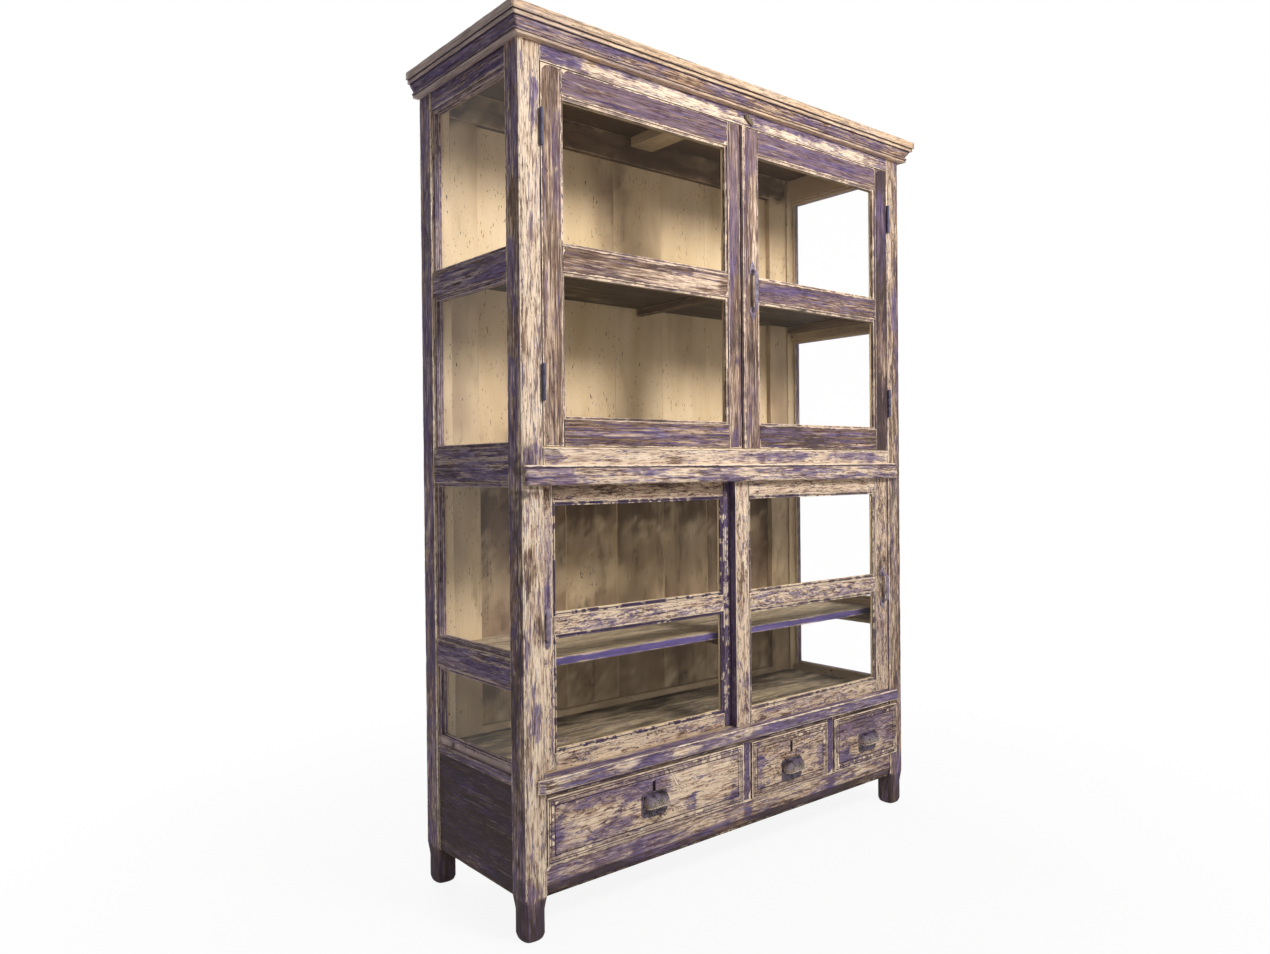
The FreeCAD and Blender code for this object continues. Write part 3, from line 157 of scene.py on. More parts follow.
# %% Skin of a box
def box_skin(lines):
    """Points and outward faces of a box whose three axes are cut at the given lines."""
    shape = [len(l) for l in lines]
    on_skin = np.zeros(shape, bool)
    for axis in range(3):
        np.moveaxis(on_skin, axis, 0)[[0, -1]] = True
    number = np.full(shape, -1)
    number[on_skin] = np.arange(on_skin.sum())
    points = np.stack(np.meshgrid(*lines, indexing="ij"), -1)[on_skin]
    faces = []
    for axis in range(3):
        for end in (0, -1):
            sheet = np.take(number, end, axis=axis)
            quads = np.stack([sheet[:-1, :-1], sheet[1:, :-1], sheet[1:, 1:], sheet[:-1, 1:]], -1)
            quads = quads.reshape(-1, 4)
            faces.append(quads[:, ::-1] if (end == 0) != (axis == 1) else quads)
    return points, np.concatenate(faces)


# %% [markdown]
# ## What the paint knows
#
# Six numbers describe the state of the paint at a point. `violet` is how much of the top coat is
# left, `cream` how much of the first coat, the third how dark it is from dirt and from painted shade,
# `mauve` how much of the violet was only thinned to a film, `specks` how pitted it is, and `tone`
# how pale the cream has stayed. They run from 0 to 1, and a little above 1 where nothing at all may
# show through. A board has one such set, or one for each way its faces look, and marks change it
# round one place, such as the bare patch where the ledge is broken. Marks leave the faces that look
# backwards alone.

# %% Coats and marks
def coat(violet, cream, grime_and_shade=0.2, mauve=0.2, specks=0.4, tone=0.6):
    """The state of the paint in six numbers."""
    return np.array([violet, cream, grime_and_shade, mauve, specks, tone], float)


MARK_STRENGTH = 0.88
REAR_FACING = 0.7


def marked(made, marks):
    """Changes the paint round places: (x, z, half width, half height, coat), in mm from the left foot."""
    points = made["points"]
    for x, z, wide, tall, there in marks:
        off_x = (points[:, 0] - corner[0] - x * MM) / (wide * MM)
        off_z = (points[:, 2] - corner[2] - z * MM) / (tall * MM)
        ragged = 0.5 * rough(points, 0.04, x + z) + 0.4 * rough(points, 0.014, x - z)
        share = MARK_STRENGTH * np.clip((1.35 - np.hypot(off_x, off_z) - ragged) * 1.3, 0, 1)
        share = share[:, None] * (made["out"][:, 1:2] < REAR_FACING)
        made["paint"] = made["paint"] * (1 - share) + there * share


# %% Indoors
room_low = corner + np.array([24, 23.6, 312.4]) * MM
room_high = np.array([-room_low[0], corner[1] + 396 * MM, corner[2] + 1865.4 * MM])
print("room from", room_low.round(3), "to", room_high.round(3))


def behind(y):
    """A room for boards of a door: all that lies behind a plane."""
    return np.array([-9, y, -9]), np.array([9, 9, 9])


NOWHERE = behind(9)


def indoors(points, low=room_low, high=room_high):
    """1 for points on the room side of the cabinet, 0 outside."""
    return np.all((points > low) & (points < high), axis=1).astype(float)


# %% One board
LOOKS = {"side": (0, 0), "front": (1, -1), "back": (1, 1), "under": (2, -1)}
GRAIN_SHIFT = np.array([0.37, 0.71, 0.53])
MOST_ROUNDING = 0.42
LEAST_RADIUS = 0.3 * MM
board_count = 0


def board(low, high, along=None, paint=coat(0.4, 0.8), looks=None, ease=1.2 * MM, worn=0.9 * MM,
          step=11 * MM, wave=0.35 * MM, shape=None, cuts=((), (), ()), room=None, chips=0.0, marks=(),
          joints=False):
    """One worn board between two corners. looks gives other coats to the faces that look one of the
    ways in LOOKS; joints darkens the two ends, where the board meets others."""
    global board_count
    board_count += 1
    low, high = np.array(low, float), np.array(high, float)
    size = high - low
    along = int(np.argmax(size)) if along is None else along
    across = [axis for axis in range(3) if axis != along]
    lines = [ruled(size[a], ease, step if a == along else max(step, 9 * MM), cuts[a]) for a in range(3)]
    points, faces = box_skin(lines)
    gaps = np.sort(np.minimum(points, size - points), axis=1)
    edge = gaps[:, 1].copy()
    to_end = np.minimum(points[:, along], size[along] - points[:, along])

    salt = 17.3 * board_count
    quarter = np.sign(points[:, across] - size[across] / 2) * 3.7
    place = np.column_stack([points[:, along], quarter * 0.01])
    radius = ease + worn * np.clip(rough(place, 0.05, salt) + rough(place, 0.013, salt) * 0.6, -0.5, 1.6)
    if chips:
        radius += chips * np.clip(rough(place, 0.03, salt + 9) * 3 - 0.9, 0, 1)
    radius = np.clip(radius, LEAST_RADIUS, size.min() * MOST_ROUNDING)[:, None]
    core = np.clip(points, radius, size - radius)
    out = points - core
    reach = np.linalg.norm(out, axis=1, keepdims=True)
    out = np.where(reach > 1e-9, out / np.maximum(reach, 1e-9), 0)
    points = core + out * np.where(reach > 1e-9, radius, 0)
    points = points + low
    bulge = rough(points, 0.13, salt) * 0.6 + rough(points, 0.035, salt) * 0.4
    points += out * (wave * (bulge - 0.5))[:, None]

    grain = np.column_stack([points[:, along] - low[along]] + [points[:, a] - low[a] for a in across])
    grain += GRAIN_SHIFT * board_count
    face = np.tile(paint, (len(points), 1))
    for look, other in (looks or {}).items():
        axis, way = LOOKS[look]
        facing = abs(out[:, axis]) if way == 0 else out[:, axis] * way
        share = np.clip(facing[:, None] * 1.6 - 0.3, 0, 1)
        face = face * (1 - share) + other * share
    inside = indoors(points) if room is None else indoors(points, *room)
    made = {"points": points, "faces": faces.tolist(), "grain": grain, "edge": edge, "paint": face,
            "inside": inside, "nook": to_end if joints else np.ones(len(points)), "out": out}
    marked(made, marks)
    if shape is not None:
        shape(made)
    return made


print("points in a test board", len(board((0, 0, 0), (0.5, 0.05, 0.02))["points"]))

# %% [markdown]
# ## From boards to pieces
#
# A piece is one Blender object for one CAD node. Its boards go into one mesh, the paint values
# become point attributes of that mesh, and the piece rides on the body that the node belongs to,
# so a door's timber swings with the door.

# %% Piece maker
body_of = {node: body for body, nodes in frame["record"]["behaviour"]["bodies"].items() for node in nodes}


def piece(node, parts, material):
    """One object made of parts that stands for a CAD node and moves with it."""
    points = np.concatenate([p["points"] for p in parts])
    faces, start = [], 0
    for p in parts:
        faces += [[i + start for i in f] for f in p["faces"]]
        start += len(p["points"])
    mesh = bpy.data.meshes.new(node + "_finish")
    mesh.from_pydata(points.tolist(), [], faces)
    kept = [key for key in ("grain", "edge", "nook", "inside", "worn") if key in parts[0]]
    held = {key: np.concatenate([p[key] for p in parts]) for key in kept}
    if "paint" in parts[0]:
        paint = np.concatenate([p["paint"] for p in parts])
        held["cover"] = paint[:, :3]
        held["wash"] = paint[:, 3:]
    for key, values in held.items():
        flat = values.ndim == 1
        layer = mesh.attributes.new(key, "FLOAT" if flat else "FLOAT_VECTOR", "POINT")
        layer.data.foreach_set("value" if flat else "vector",
                               np.ascontiguousarray(values, np.float32).ravel())
    mesh.shade_smooth()
    mesh.materials.append(material)
    made = bpy.data.objects.new(node + "_finish", mesh)
    bpy.context.scene.collection.objects.link(made)
    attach(made, body_of[node])
    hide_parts(node)
    return made


# %% [markdown]
# ## Writing shaders in few words
#
# Materials here are node trees written in code. One tree is open at a time, and the helpers write
# into it. An output travels as a wire, and wires can be added, subtracted and multiplied like
# numbers: each such sum puts one Math node into the tree.

# %% Node helpers
class Wire:
    """The output socket of a node; arithmetic with it adds Math nodes."""

    def __init__(self, socket):
        self.socket = socket

    def __add__(self, other):
        return maths("ADD", self, other)

    def __sub__(self, other):
        return maths("SUBTRACT", self, other)

    def __mul__(self, other):
        return maths("MULTIPLY", self, other)


def wires(node):
    """Every output of a node, by name."""
    return SimpleNamespace(**{socket.name: Wire(socket) for socket in node.outputs if socket.name})


def feed(socket, value):
    """Links a wire to an input socket, or sets the socket to a plain value."""
    if isinstance(value, Wire):
        tree.links.new(value.socket, socket)
    else:
        socket.default_value = value


def put(kind, inputs=None, out=0, **settings):
    """Adds a node to the open tree, sets it up, feeds its inputs and answers one output."""
    node = tree.nodes.new("ShaderNode" + kind)
    for key, value in settings.items():
        setattr(node, key, value)
    for key, value in (inputs or {}).items():
        feed(node.inputs[key], value)
    return Wire(node.outputs[out])


def maths(how, *values):
    """The answer of a Math node."""
    return put("Math", dict(enumerate(values)), operation=how)


def split(vector):
    """The three numbers of a vector."""
    node = tree.nodes.new("ShaderNodeSeparateXYZ")
    feed(node.inputs[0], vector)
    return [Wire(socket) for socket in node.outputs]


def blend(share, first, second, how="MIX"):
    """Two colours mixed by a share from 0 to 1."""
    inputs = {0: share, 6: first, 7: second}
    return put("Mix", inputs, 2, data_type="RGBA", blend_type=how, clamp_factor=True)


def span(value, low, high, start=0.0, end=1.0, kind="SMOOTHSTEP"):
    """Value from low to high, drawn out in a soft curve from start to end and held there."""
    inputs = {"Value": value, "From Min": low, "From Max": high, "To Min": start, "To Max": end}
    return put("MapRange", inputs, interpolation_type=kind, clamp=True)


def evenly(value, low, high, start=0.0, end=1.0):
    """The same in a straight line."""
    return span(value, low, high, start, end, "LINEAR")


def tint(red, green, blue):
    """A colour as seen on a screen, 0 to 255, turned into the linear values that a shader wants."""
    linear = [c / 255 / 12.92 if c <= 10 else ((c / 255 + 0.055) / 1.055) ** 2.4 for c in (red, green,
                                                                                           blue)]
    return (*linear, 1.0)


def group(name, outputs, **inputs):
    """Opens a new node group. The default of an input says what it carries: a number, a colour
    or, where there is none, a vector."""
    global tree
    tree = bpy.data.node_groups.new(name, "ShaderNodeTree")
    for key, value in inputs.items():
        kind = "Vector" if value is None else "Color" if isinstance(value, tuple) else "Float"
        socket = tree.interface.new_socket(key, in_out="INPUT", socket_type="NodeSocket" + kind)
        if value is not None:
            socket.default_value = value
    for key in outputs:
        kind = "Color" if key == "Colour" else "Float"
        tree.interface.new_socket(key, in_out="OUTPUT", socket_type="NodeSocket" + kind)
    return wires(tree.nodes.new("NodeGroupInput"))


def give(**outputs):
    """Feeds the outputs of the open group, which completes it."""
    node = tree.nodes.new("NodeGroupOutput")
    for key, value in outputs.items():
        feed(node.inputs[key], value)
    print("group", tree.name, "has", len(tree.nodes), "nodes")


def use(name, **inputs):
    """Places a node group in the open tree and answers its outputs."""
    node = tree.nodes.new("ShaderNodeGroup")
    node.node_tree = bpy.data.node_groups[name]
    for key, value in inputs.items():
        feed(node.inputs[key], value)
    return wires(node)


def start_material(name):
    """A new material, opened; also the inputs of its Principled shader."""
    global tree
    material = bpy.data.materials.new(name)
    material.use_nodes = True
    tree = material.node_tree
    return material, tree.nodes["Principled BSDF"].inputs


def attribute(name, out="Fac"):
    """A point value of the mesh."""
    return put("Attribute", out=out, attribute_name=name)


def surface(shader, colour, height, strength, distance, roughness, gloss=0.5):
    """Feeds a shader its colour, a bump made from a height, its roughness and its gloss."""
    bump = put("Bump", {"Height": height, "Strength": strength, "Distance": distance})
    fed = {"Base Color": colour, "Normal": bump, "Roughness": roughness, "Specular IOR Level": gloss}
    for key, value in fed.items():
        feed(shader[key], value)


def give_way(share, other):
    """Lets another shader take the Principled one's place by a share."""
    own = Wire(tree.nodes["Principled BSDF"].outputs[0])
    both = put("MixShader", {0: share, 1: own, 2: other})
    feed(tree.nodes["Material Output"].inputs["Surface"], both)


# %% [markdown]
# ## Effects that several finishes share
#
# Old paint lifts in streaks, because it holds on the soft early wood and lets go on the hard late
# wood. Streaks are therefore noise that is stretched along the grain. The first group makes them,
# the next ones use them: timber figure, what is left of a coat of paint, pits, rubbed arrises,
# grime with painted shade in the hollows. Lengths and widths are in metres, and a shift of its own
# keeps each noise apart from the others.

# %% Streaks along the grain
given = group("streaks", ["Value"], Place=None, Length=0.1, Width=0.01, Shift=0.0, Detail=4.0)
across_scale = maths("DIVIDE", 1.0, given.Width)
stretch = put("CombineXYZ", {0: maths("DIVIDE", 1.0, given.Length), 1: across_scale, 2: across_scale})
shift = put("CombineXYZ", {0: given.Shift, 1: given.Shift, 2: given.Shift})
drawn = put("VectorMath", {0: given.Place, 1: stretch, 2: shift}, operation="MULTIPLY_ADD")
texture = put("TexNoise", {"Vector": drawn, "Scale": 1.0, "Detail": given.Detail, "Roughness": 0.6})
give(Value=evenly(texture, 0.28, 0.72))


def streaks(place, length, width, shift=0.0, detail=4.0):
    """Noise from 0 to 1, drawn out along the grain."""
    return use("streaks", Place=place, Length=length, Width=width, Shift=shift, Detail=detail).Value


# %% Figure of the timber
given = group("timber figure", ["Colour", "Height"], Place=None, Dark=(0.1, 0.05, 0.04, 1),
              Light=(0.3, 0.2, 0.15, 1))
figure = streaks(given.Place, 0.3, 0.02, 3.0) * 0.5 + streaks(given.Place, 0.07, 0.0034, 11.0) * 0.5
figure = evenly(figure, 0.22, 0.78)
give(Colour=blend(figure, given.Dark, given.Light), Height=figure)

# %% What is left of a coat of paint
given = group("coat left", ["Mask", "Rim"], Place=None, Edge=0.01, Cover=0.5, Rub=0.3, Length=0.12,
              Width=0.012, Shift=0.0, Crisp=0.03, Draw=1.0)
broad = streaks(given.Place, given.Length, given.Width, given.Shift, 2.0)
middle = streaks(given.Place, given.Draw * 0.045, 0.0056, given.Shift + 5.0, 2.0)
fine = streaks(given.Place, given.Draw * 0.014, 0.0028, given.Shift + 9.0, 2.0)
mixed = broad * 0.31 + middle * 0.38 + fine * 0.31
limit = given.Cover * -0.42 + 0.71 + span(given.Edge, 0.0, 0.006, 1.0, 0.0) * given.Rub
give(Mask=span(mixed, limit - given.Crisp, limit + given.Crisp),
     Rim=span(maths("ABSOLUTE", mixed - limit), 0.0, 0.035, 1.0, 0.0))

# %% Pits and specks
given = group("pits", ["Mask"], Place=None, Amount=0.3)
short = streaks(given.Place, 0.014, 0.0034, 21.0, 2.0)
patches = streaks(given.Place, 0.09, 0.03, 29.0, 2.0)
needed = evenly(given.Amount, 0.0, 1.0, 1.15, 0.72) - patches * 0.24
give(Mask=span(short, needed, needed + 0.06))

# %% Rubbed arrises
given = group("rubbed arris", ["Bright", "Dark"], Place=None, Edge=0.01)
ragged = streaks(given.Place, 0.02, 0.02, 33.0, 3.0)
patchy = streaks(given.Place, 0.12, 0.12, 37.0, 1.0)
over = given.Edge - span(ragged, 0.1, 0.9, 0.0004, 0.0036) * span(patchy, 0.15, 0.6, 0.25, 1.0)
give(Bright=span(over, 0.0, 0.0005, 1.0, 0.0),
     Dark=span(over, 0.0003, 0.0008) * span(over, 0.0012, 0.0034, 1.0, 0.0))

# %% Grime and painted shade
given = group("grime_and_shade", ["Mask", "Corner"], Place=None, Nook=1.0, Amount=0.3)
cloud = streaks(given.Place, 0.16, 0.04, 41.0, 5.0)
limit = evenly(given.Amount, 0.0, 1.0, 1.0, 0.0)
# Corner darkens points close to an inner corner: dark joints where boards meet, and painted shade in grooves
# and hollows.
give(Mask=span(cloud, limit - 0.05, limit + 0.45), Corner=span(given.Nook, 0.0006, 0.0026, 1.0, 0.0))

# %% Paint on the room side
given = group("room paint", ["Colour"], Place=None, Edge=0.01, Soil=0.1)
broad = streaks(given.Place, 0.5, 0.12, 61.0)
stain = streaks(given.Place, 0.22, 0.03, 67.0, 5.0)
cloud = streaks(given.Place, 0.5, 0.3, 69.0, 3.0)
worn = use("coat left", Place=given.Place, Edge=given.Edge, Cover=1.36, Rub=0.12, Length=0.2, Width=0.02,
           Shift=71.0).Mask
# The soil clouds darken the room paint: real dirt, and painted shade where the marks set this value high, as
# in the dim lower bays.
soil_and_shade_edge = evenly(given.Soil, 0.0, 1.0, 1.05, -0.25)
soil_and_shade = span(cloud, soil_and_shade_edge - 0.55, soil_and_shade_edge + 0.55)
colour = blend(broad, tint(188, 162, 122), tint(210, 187, 153))
colour = blend(span(stain, 0.6, 1.0) * 0.2, colour, tint(158, 124, 84))
colour = blend(worn, tint(112, 86, 62), colour)
colour = blend(soil_and_shade * 0.92, colour, tint(104, 78, 56))
give(Colour=blend(use("pits", Place=given.Place, Amount=0.3).Mask, colour, tint(60, 44, 32)))

# %% [markdown]
# ## The painted finish
#
# Every painted zone has the same build: bare timber, cream over it, a thin mauve film, violet on
# top, then pits, rubbed arrises, grime and painted shade in the hollows. What differs is how much of
# each is left, and how dark the timber is. The amounts come from the piece's own point values, the
# colours from this function's arguments.

# %% Painted timber
VIOLET_TONES = (tint(68, 56, 100), tint(118, 102, 146))
WOOD_GLOSS = 0.3


def painted(name, cream, film=(tint(104, 86, 110), tint(152, 130, 152)),
            wood_tones=(tint(78, 60, 54), tint(158, 130, 110)), length=0.12, width=0.012, draw=1.5,
            crisp=0.12, arris=1.0):
    """Rubbed violet paint over cream paint over timber; draw is how far the brush marks are drawn out."""
    material, shader = start_material(name)
    place = attribute("grain", "Vector")
    edge, nook, inside = (attribute(key) for key in ("edge", "nook", "inside"))
    violet_left, cream_left, dirt_and_shade_amount = split(attribute("cover", "Vector"))
    mauve, specked, tone = split(attribute("wash", "Vector"))
    brushed = {"Place": place, "Edge": edge, "Draw": draw}

    wood = use("timber figure", Place=place, Dark=wood_tones[0], Light=wood_tones[1])
    first = use("coat left", Cover=cream_left, Rub=-0.08, Length=length, Width=width, Shift=83.0,
                Crisp=crisp, **brushed)
    second = use("coat left", Cover=violet_left, Rub=0.3, Length=length * 1.2, Width=width * 1.5,
                 Shift=97.0, Crisp=crisp * 0.8, **brushed)
    scratched = use("coat left", Cover=0.66, Rub=0.2, Length=length * 0.7, Width=width * 0.6, Shift=157.0,
                    Crisp=0.1, **brushed)
    shade = streaks(place, 0.16, 0.02, 103.0)
    thin = streaks(place, 0.05, 0.006, 109.0)
    veil = streaks(place, 0.3, 0.05, 113.0, 3.0)
    stained = streaks(place, 0.04, 0.0032, 127.0, 3.0)

    colour = blend(first.Mask, wood.Colour, blend(evenly(shade * 0.7 + tone * 0.9, 0.2, 1.2), *cream))
    colour = blend(first.Rim * 0.2, colour, wood_tones[0])
    film_edge = evenly(mauve, 0.0, 1.0, 1.1, -0.1)
    film_here = span(veil, film_edge - 0.2, film_edge + 0.2) * evenly(scratched.Mask, 0.0, 1.0, 0.3, 0.9)
    colour = blend(film_here, colour, blend(thin, *film))
    violet_here = second.Mask * evenly(thin, 0.1, 0.9, 0.95, 0.5)
    colour = blend(violet_here, colour, blend(shade, *VIOLET_TONES))
    stain = blend(span(stained, 0.12, 0.62), tint(176, 158, 158), (1, 1, 1, 1))
    colour = blend(1.0, colour, stain, "MULTIPLY")
    specks = use("pits", Place=place, Amount=specked).Mask
    colour = blend(specks * 0.85, colour, wood_tones[0])
    line = use("rubbed arris", Place=place, Edge=edge)
    colour = blend(line.Dark * (0.55 * arris), colour, tint(70, 52, 72))
    colour = blend(line.Bright * arris, colour, cream[1])
    # Grime darkens in clouds and next to inner corners: dirt and dark joints, and painted shade where the
    # marks set it high and in grooves and hollows.
    dirt_and_shade = use("grime_and_shade", Place=place, Nook=nook, Amount=dirt_and_shade_amount)
    colour = blend(dirt_and_shade.Mask * 0.8, colour, tint(58, 46, 46))
    colour = blend(dirt_and_shade.Corner * 0.92, colour, tint(46, 34, 52))
    colour = blend(inside, colour, use("room paint", Place=place, Edge=edge, Soil=dirt_and_shade_amount).Colour)

    height = first.Mask * 0.6 + second.Mask * 0.4 + wood.Height * 0.3 - specks * 0.7
    surface(shader, colour, height, 0.8, 0.0012, evenly(first.Mask, 0.0, 1.0, 0.86, 0.62), WOOD_GLOSS)
    return material


frame_paint = painted("paint on posts and rails", (tint(192, 158, 126), tint(238, 216, 190)))
side_paint = painted("paint on the side frames", (tint(150, 126, 118), tint(206, 184, 172)),
                     (tint(104, 86, 108), tint(142, 122, 146)), (tint(56, 44, 46), tint(118, 96, 86)),
                     length=0.16, width=0.010, draw=2.0, arris=0.45)
cornice_paint = painted("paint on the cornice", (tint(196, 154, 114), tint(240, 214, 182)), length=0.2,
                        width=0.006, draw=2.4, arris=0.25)
door_paint = painted("paint on the hinged doors", (tint(182, 150, 126), tint(230, 204, 178)),
                     (tint(92, 74, 88), tint(146, 122, 136)), (tint(74, 56, 48), tint(150, 122, 102)),
                     length=0.3, width=0.007, draw=3.2, crisp=0.13)
front_paint = painted("paint on sliding doors and drawers", (tint(196, 164, 134), tint(236, 212, 184)),
                      length=0.05, draw=0.55, crisp=0.09)
print("painted finishes", sum(material.name.startswith("paint") for material in bpy.data.materials))

# %% [markdown]
# ## Timber that was never painted outside
#
# The backs of the planks, the drawer boxes and the runners are bare softwood, grey and brown with
# age. Their room side, where they have one, still gets the cream paint. The shelves had pale paint
# and a violet front edge, both worn through along the grain.

# %% Bare timber and shelf planks
def bare(name, dark, light, shelf=False):
    """Old planed timber, or a shelf with what is left of its paint."""
    material, shader = start_material(name)
    place = attribute("grain", "Vector")
    edge, nook, inside = (attribute(key) for key in ("edge", "nook", "inside"))
    violet_left, cream_left, dirt_and_shade_amount = split(attribute("cover", "Vector"))
    wood = use("timber figure", Place=place, Dark=dark, Light=light)
    line = use("rubbed arris", Place=place, Edge=edge).Bright
    if shelf:
        pale = use("coat left", Place=place, Edge=edge, Cover=cream_left, Rub=0.2, Length=0.4, Width=0.03,
                   Shift=131.0, Crisp=0.2).Mask
        second = use("coat left", Place=place, Edge=edge, Cover=violet_left, Rub=0.08, Length=0.1,
                     Width=0.01, Shift=137.0).Mask
        colour = blend(pale * 0.75, wood.Colour, tint(190, 170, 138))
        colour = blend(second, colour, blend(wood.Height, tint(50, 40, 78), tint(84, 70, 116)))
        colour = blend(line * 0.5, colour, tint(196, 172, 140))
    else:
        room = use("room paint", Place=place, Edge=edge, Soil=dirt_and_shade_amount)
        colour = blend(inside, wood.Colour, room.Colour)
    colour = blend(use("pits", Place=place, Amount=0.25).Mask * 0.7, colour, tint(52, 40, 32))
    dirt_and_shade = use("grime_and_shade", Place=place, Nook=nook, Amount=dirt_and_shade_amount).Mask
    colour = blend(dirt_and_shade * (0.85 if shelf else 0.55), colour, tint(58, 43, 26))
    # On the room side, a light line along the arrises: rubbed paint, and partly a painted highlight on lit
    # edges such as the top back rail's lower edge.
    if not shelf:
        colour = blend(line * cream_left * 0.6, colour, tint(188, 160, 124))
    roughness = evenly(wood.Height, 0.0, 1.0, 0.9, 0.7)
    surface(shader, colour, wood.Height, 0.5, 0.0007, roughness, WOOD_GLOSS)
    return material


plank = bare("planks of the back", tint(92, 72, 56), tint(156, 130, 102))
shelf_plank = bare("shelf planks", tint(82, 67, 48), tint(148, 128, 98), shelf=True)

# %% [markdown]
# ## Iron and glass
#
# Pulls, hinges and locks are wrought iron that was painted over with the doors, so dark metal
# shows on the ridges and violet paint sits in the hollows. The panes are thin, clear and very
# slightly wavy, and mirror less than new glass. Cycles lets no lamp through a glass shader, so
# rays from lamps get a clear shader instead, and the shelves behind the panes stay lit.

# %% Iron
def iron(name, paint_left, coats, rubbed, metal=(tint(48, 40, 42), tint(104, 84, 70))):
    """Dark iron with remains of violet paint, pale where the worn value is high: rubbed metal, and along the
    lips of the hooded pulls partly a painted highlight.
    """
    material, shader = start_material(name)
    place = put("TexCoord", out="Object")
    cloud = put("TexNoise", {"Vector": place, "Scale": 70.0, "Detail": 4.0})
    fine = put("TexNoise", {"Vector": place, "Scale": 420.0, "Detail": 3.0})
    both = cloud * 0.65 + fine * 0.35
    limit = 0.72 - 0.45 * paint_left
    paint = span(both, limit, limit + 0.05)
    colour = blend(paint, blend(span(fine, 0.4, 0.7), *metal), blend(span(cloud, 0.35, 0.65), *coats))
    colour = blend(attribute("worn") * span(fine, 0.3, 0.6), colour, rubbed)
    feed(shader["Metallic"], span(paint, 0.0, 1.0, 0.6, 0.0))
    surface(shader, colour, both, 0.7, 0.0008, span(both, 0.3, 0.7, 0.45, 0.68))
    return material


# Its pale rubbed colour also serves as a painted highlight on the lips of the hooded pulls.
dark_iron = iron("worn iron", 0.6, (tint(60, 48, 70), tint(100, 84, 106)), tint(200, 182, 156),
                 (tint(34, 28, 30), tint(76, 64, 60)))
painted_iron = iron("overpainted iron", 0.85, (tint(78, 66, 90), tint(136, 120, 140)), tint(160, 144, 148))
hinge_iron = iron("blue painted hinges", 0.8, (tint(44, 40, 66), tint(76, 70, 98)), tint(104, 96, 118))

# %% Wood of the turn button
olive_wood, shader = start_material("olive brown hardwood")
along_button = {"Vector": put("TexCoord", out="Object"), "Angle": math.radians(-32)}
turned = put("VectorRotate", along_button, rotation_type="Y_AXIS")
figure = use("timber figure", Place=turned, Dark=tint(66, 54, 38), Light=tint(132, 112, 80))
surface(shader, figure.Colour, figure.Height, 0.5, 0.0005, 0.6)

# %% Glass
pane_glass, shader = start_material("pane glass")
clear_glass = {"Base Color": (1, 1, 1, 1), "Roughness": 0.0, "Transmission Weight": 1.0, "IOR": 1.12}
for key, value in clear_glass.items():
    feed(shader[key], value)
waves = put("TexNoise", {"Vector": put("TexCoord", out="Object"), "Scale": 9.0, "Detail": 1.0})
feed(shader["Normal"], put("Bump", {"Height": waves, "Strength": 0.05, "Distance": 0.002}))
give_way(put("LightPath", out="Is Shadow Ray"), put("BsdfTransparent", {"Color": (1, 1, 1, 1)}))

for node, made in frame["nodes"].items():
    if node.endswith("_panes"):
        made.data.materials.clear()
        made.data.materials.append(pane_glass)
print("materials", [m.name for m in bpy.data.materials if m.users])

# %% [markdown]
# ## Posts
#
# The four posts carry everything, and their lower ends are the feet. The front faces were rubbed
# back to cream; the faces round the side kept their violet. Below the apron the paint is darkest,
# and the arrises of the feet are rounded off.

# %% Corner posts
FOOT_TOP = 90 * MM
FOOT_TAPER = 0.17
TIP_TAPER = 0.2
TIP_TALL = 12 * MM
OFF_ARRIS = 20 * MM
VIOLET_SIDE = coat(0.55, 0.5, 0.3, 0.55, 0.35, 0.45)
DARK_FOOT = coat(0.35, 0.02, 0.85, 0.55, 0.3, 0.05)


def foot(made):
    """Rounds the lowest end of a post and darkens it."""
    points = made["points"]
    centre = (points.min(0) + points.max(0)) / 2
    off = abs(points[:, :2] - centre[:2])
    squareness = (off.min(1) / np.maximum(off.max(1), 1e-6)) ** 2
    below = np.clip((FOOT_TOP - points[:, 2]) / (30 * MM), 0, 1)
    rise = np.clip(points[:, 2] / TIP_TALL, 0, 1)
    pull = FOOT_TAPER * squareness * below + TIP_TAPER * (1 - rise) ** 2
    points[:, :2] -= (points[:, :2] - centre[:2]) * pull[:, None]
    low = np.clip((FOOT_TOP - points[:, 2]) / (10 * MM), 0, 1)[:, None]
    made["paint"] = made["paint"] * (1 - low) + DARK_FOOT * low
    made["edge"] = np.where(points[:, 2] < FOOT_TOP, OFF_ARRIS, made["edge"])


drawer_low, drawer_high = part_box("drawer_right_front")
GAP = 1 * MM


def notched_foot(made):
    """The right front post is cut back behind the drawer that laps over it."""
    foot(made)
    points = made["points"]
    behind = ((points[:, 0] < drawer_high[0] + 2 * GAP) & (points[:, 2] > drawer_low[2] - GAP)
              & (points[:, 2] < drawer_high[2] + GAP))
    points[behind, 1] = np.maximum(points[behind, 1], drawer_high[1] + GAP)


